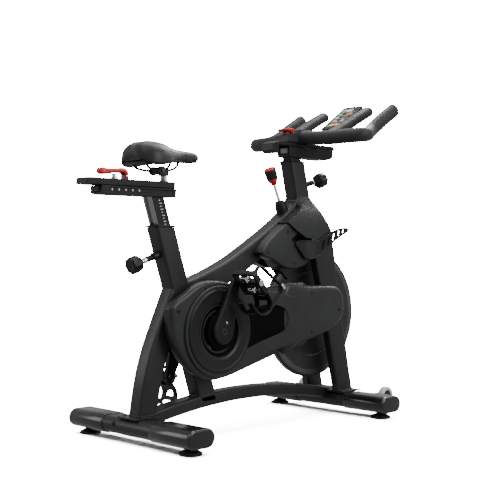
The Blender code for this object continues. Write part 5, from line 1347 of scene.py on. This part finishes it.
def digit(number, right, up, height, mat):
    """One seven-segment digit with its lower left corner at (right, up), seen by the rider."""
    wide, line = height * 0.52, height * 0.11
    half = height / 2
    bars_of = {
        "a": (0, height - line, wide, height), "b": (wide - line, half, wide, height),
        "c": (wide - line, 0, wide, half), "d": (0, 0, wide, line), "e": (0, 0, line, half),
        "f": (0, half, line, height), "g": (0, half - line / 2, wide, half + line / 2),
    }
    for letter in SEGMENTS[number]:
        r0, u0, r1, u1 = bars_of[letter]
        print_jobs[mat].append((right + r0, up + u0, right + r1, up + u1))


def figures(numbers, right, up, height, mat):
    """A row of digits."""
    for k, number in enumerate(numbers):
        digit(number, right + k * height * 0.72, up, height, mat)


figures((2, 4, 0, 8), -0.03, 0.048, 0.017, LIT_WHITE)
figures((8, 5), -0.034, 0.02, 0.015, LIT_GREEN)
figures((1, 2, 4), 0.002, 0.02, 0.015, LIT_AMBER)
figures((3, 6), -0.034, -0.004, 0.013, LIT_WHITE)
figures((9, 7), 0.006, -0.004, 0.013, LIT_RED)
figures((1, 5, 0), -0.034, -0.028, 0.011, LIT_WHITE)
figures((2, 3), 0.01, -0.028, 0.011, LIT_WHITE)
for k, tall in enumerate((3, 5, 8, 11, 9, 12, 14, 10, 7, 9, 6, 4)):
    r = -0.034 + 0.0058 * k
    mat = LIT_GREEN if tall < 8 else LIT_AMBER if tall < 12 else LIT_RED
    print_jobs[mat].append((r, -0.064, r + 0.0042, -0.064 + 0.0017 * tall))
for up in (0.044, 0.0155, -0.0085, -0.0325):
    print_jobs[LIT_WHITE].append((-0.036, up, 0.036, up + 0.0006))
for mat, jobs in print_jobs.items():
    sheet = bmesh.new()
    for r0, u0, r1, u1 in jobs:
        corners = [[sheet.verts.new((u, -r, z)) for r, u in ((r0, u0), (r1, u0), (r1, u1), (r0, u1))]
            for z in (0.0055, 0.0058)]
        low, high = corners
        for i in range(4):
            j = (i + 1) % 4
            sheet.faces.new((low[i], low[j], high[j], high[i]))
        sheet.faces.new(low)
        sheet.faces.new(high)
    piece(f"figures_{mat.name}", placed(sheet), mat, "bar_carriage")
key = mm((0, 5), (2.6, 5), (2.6, 6.2), (2, 6.6), (0, 6.6))
for k, y in enumerate((-0.024, -0.008, 0.008, 0.024)):
    piece(f"console_key_{k}", placed(lathe(key, Vector((-0.083, y, 0)), Z, 24)), BLACK, "bar_carriage",
        smooth=40)
mount = smooth_path(side_line((300, 1020), (360, 1031), (430, 1044), (480, 1060), (505, 1080)), 8)
grown = sweep(bar_path, [bar_section(p, 0.0003) for p in bar_path], Z)
shapes = [rounded_rect(0.016, 0.006, 0.0035, 6) for _ in mount]
piece("mount_arm", sweep(mount, shapes, Y), SATIN, "bar_carriage", ("console_mount",),
    cuts=[grown, placed(block((-0.0874, -0.0474, -0.0074), (0.0874, 0.0474, 0.02)))], smooth=40)
rings = []
for z, a, b, dx in mm((-20.5, 20, 17, -30), (-19, 24, 20, -29), (-11, 30, 26, -26), (-6.8, 34, 30, -24)):
    rings.append([Vector((x + dx, y, z)) for x, y in rounded_rect(a, b, 0.008)])
piece("mount_socket", placed(loft(rings)), SATIN, "bar_carriage", bevel=0.001, seg=2)
clamp_ring = oval(0.0272, 0.0242, 40)
for hand, side in HANDS:
    at = Vector((0.283, side * 0.048, 1.0195))
    way = Vector((0.16, side, -0.03)).normalized()
    u = upward(way)
    rings = []
    for d, s in ((-0.01, 0.95), (-0.0092, 0.99), (-0.008, 1.0), (0.008, 1.0), (0.0092, 0.99), (0.01, 0.95)):
        rings.append(ring_at(at + way * d, u, way.cross(u), [(a * s, b * s) for a, b in clamp_ring]))
    piece(f"bar_ring_{hand}", loft(rings), SATIN, "bar_carriage", smooth=35)

# ---- floor
floor = bmesh.new()
bmesh.ops.create_grid(floor, x_segments=8, y_segments=8, size=14.0)
ground = solid("floor", floor)
ground.data.materials.clear()
ground.data.materials.append(FLOOR)
ground.location.z = -0.0005
ground.visible_diffuse = ground.visible_glossy = False
only_floor = bpy.data.collections.new("floor_only")
only_floor.objects.link(ground)
wash.light_linking.receiver_collection = only_floor
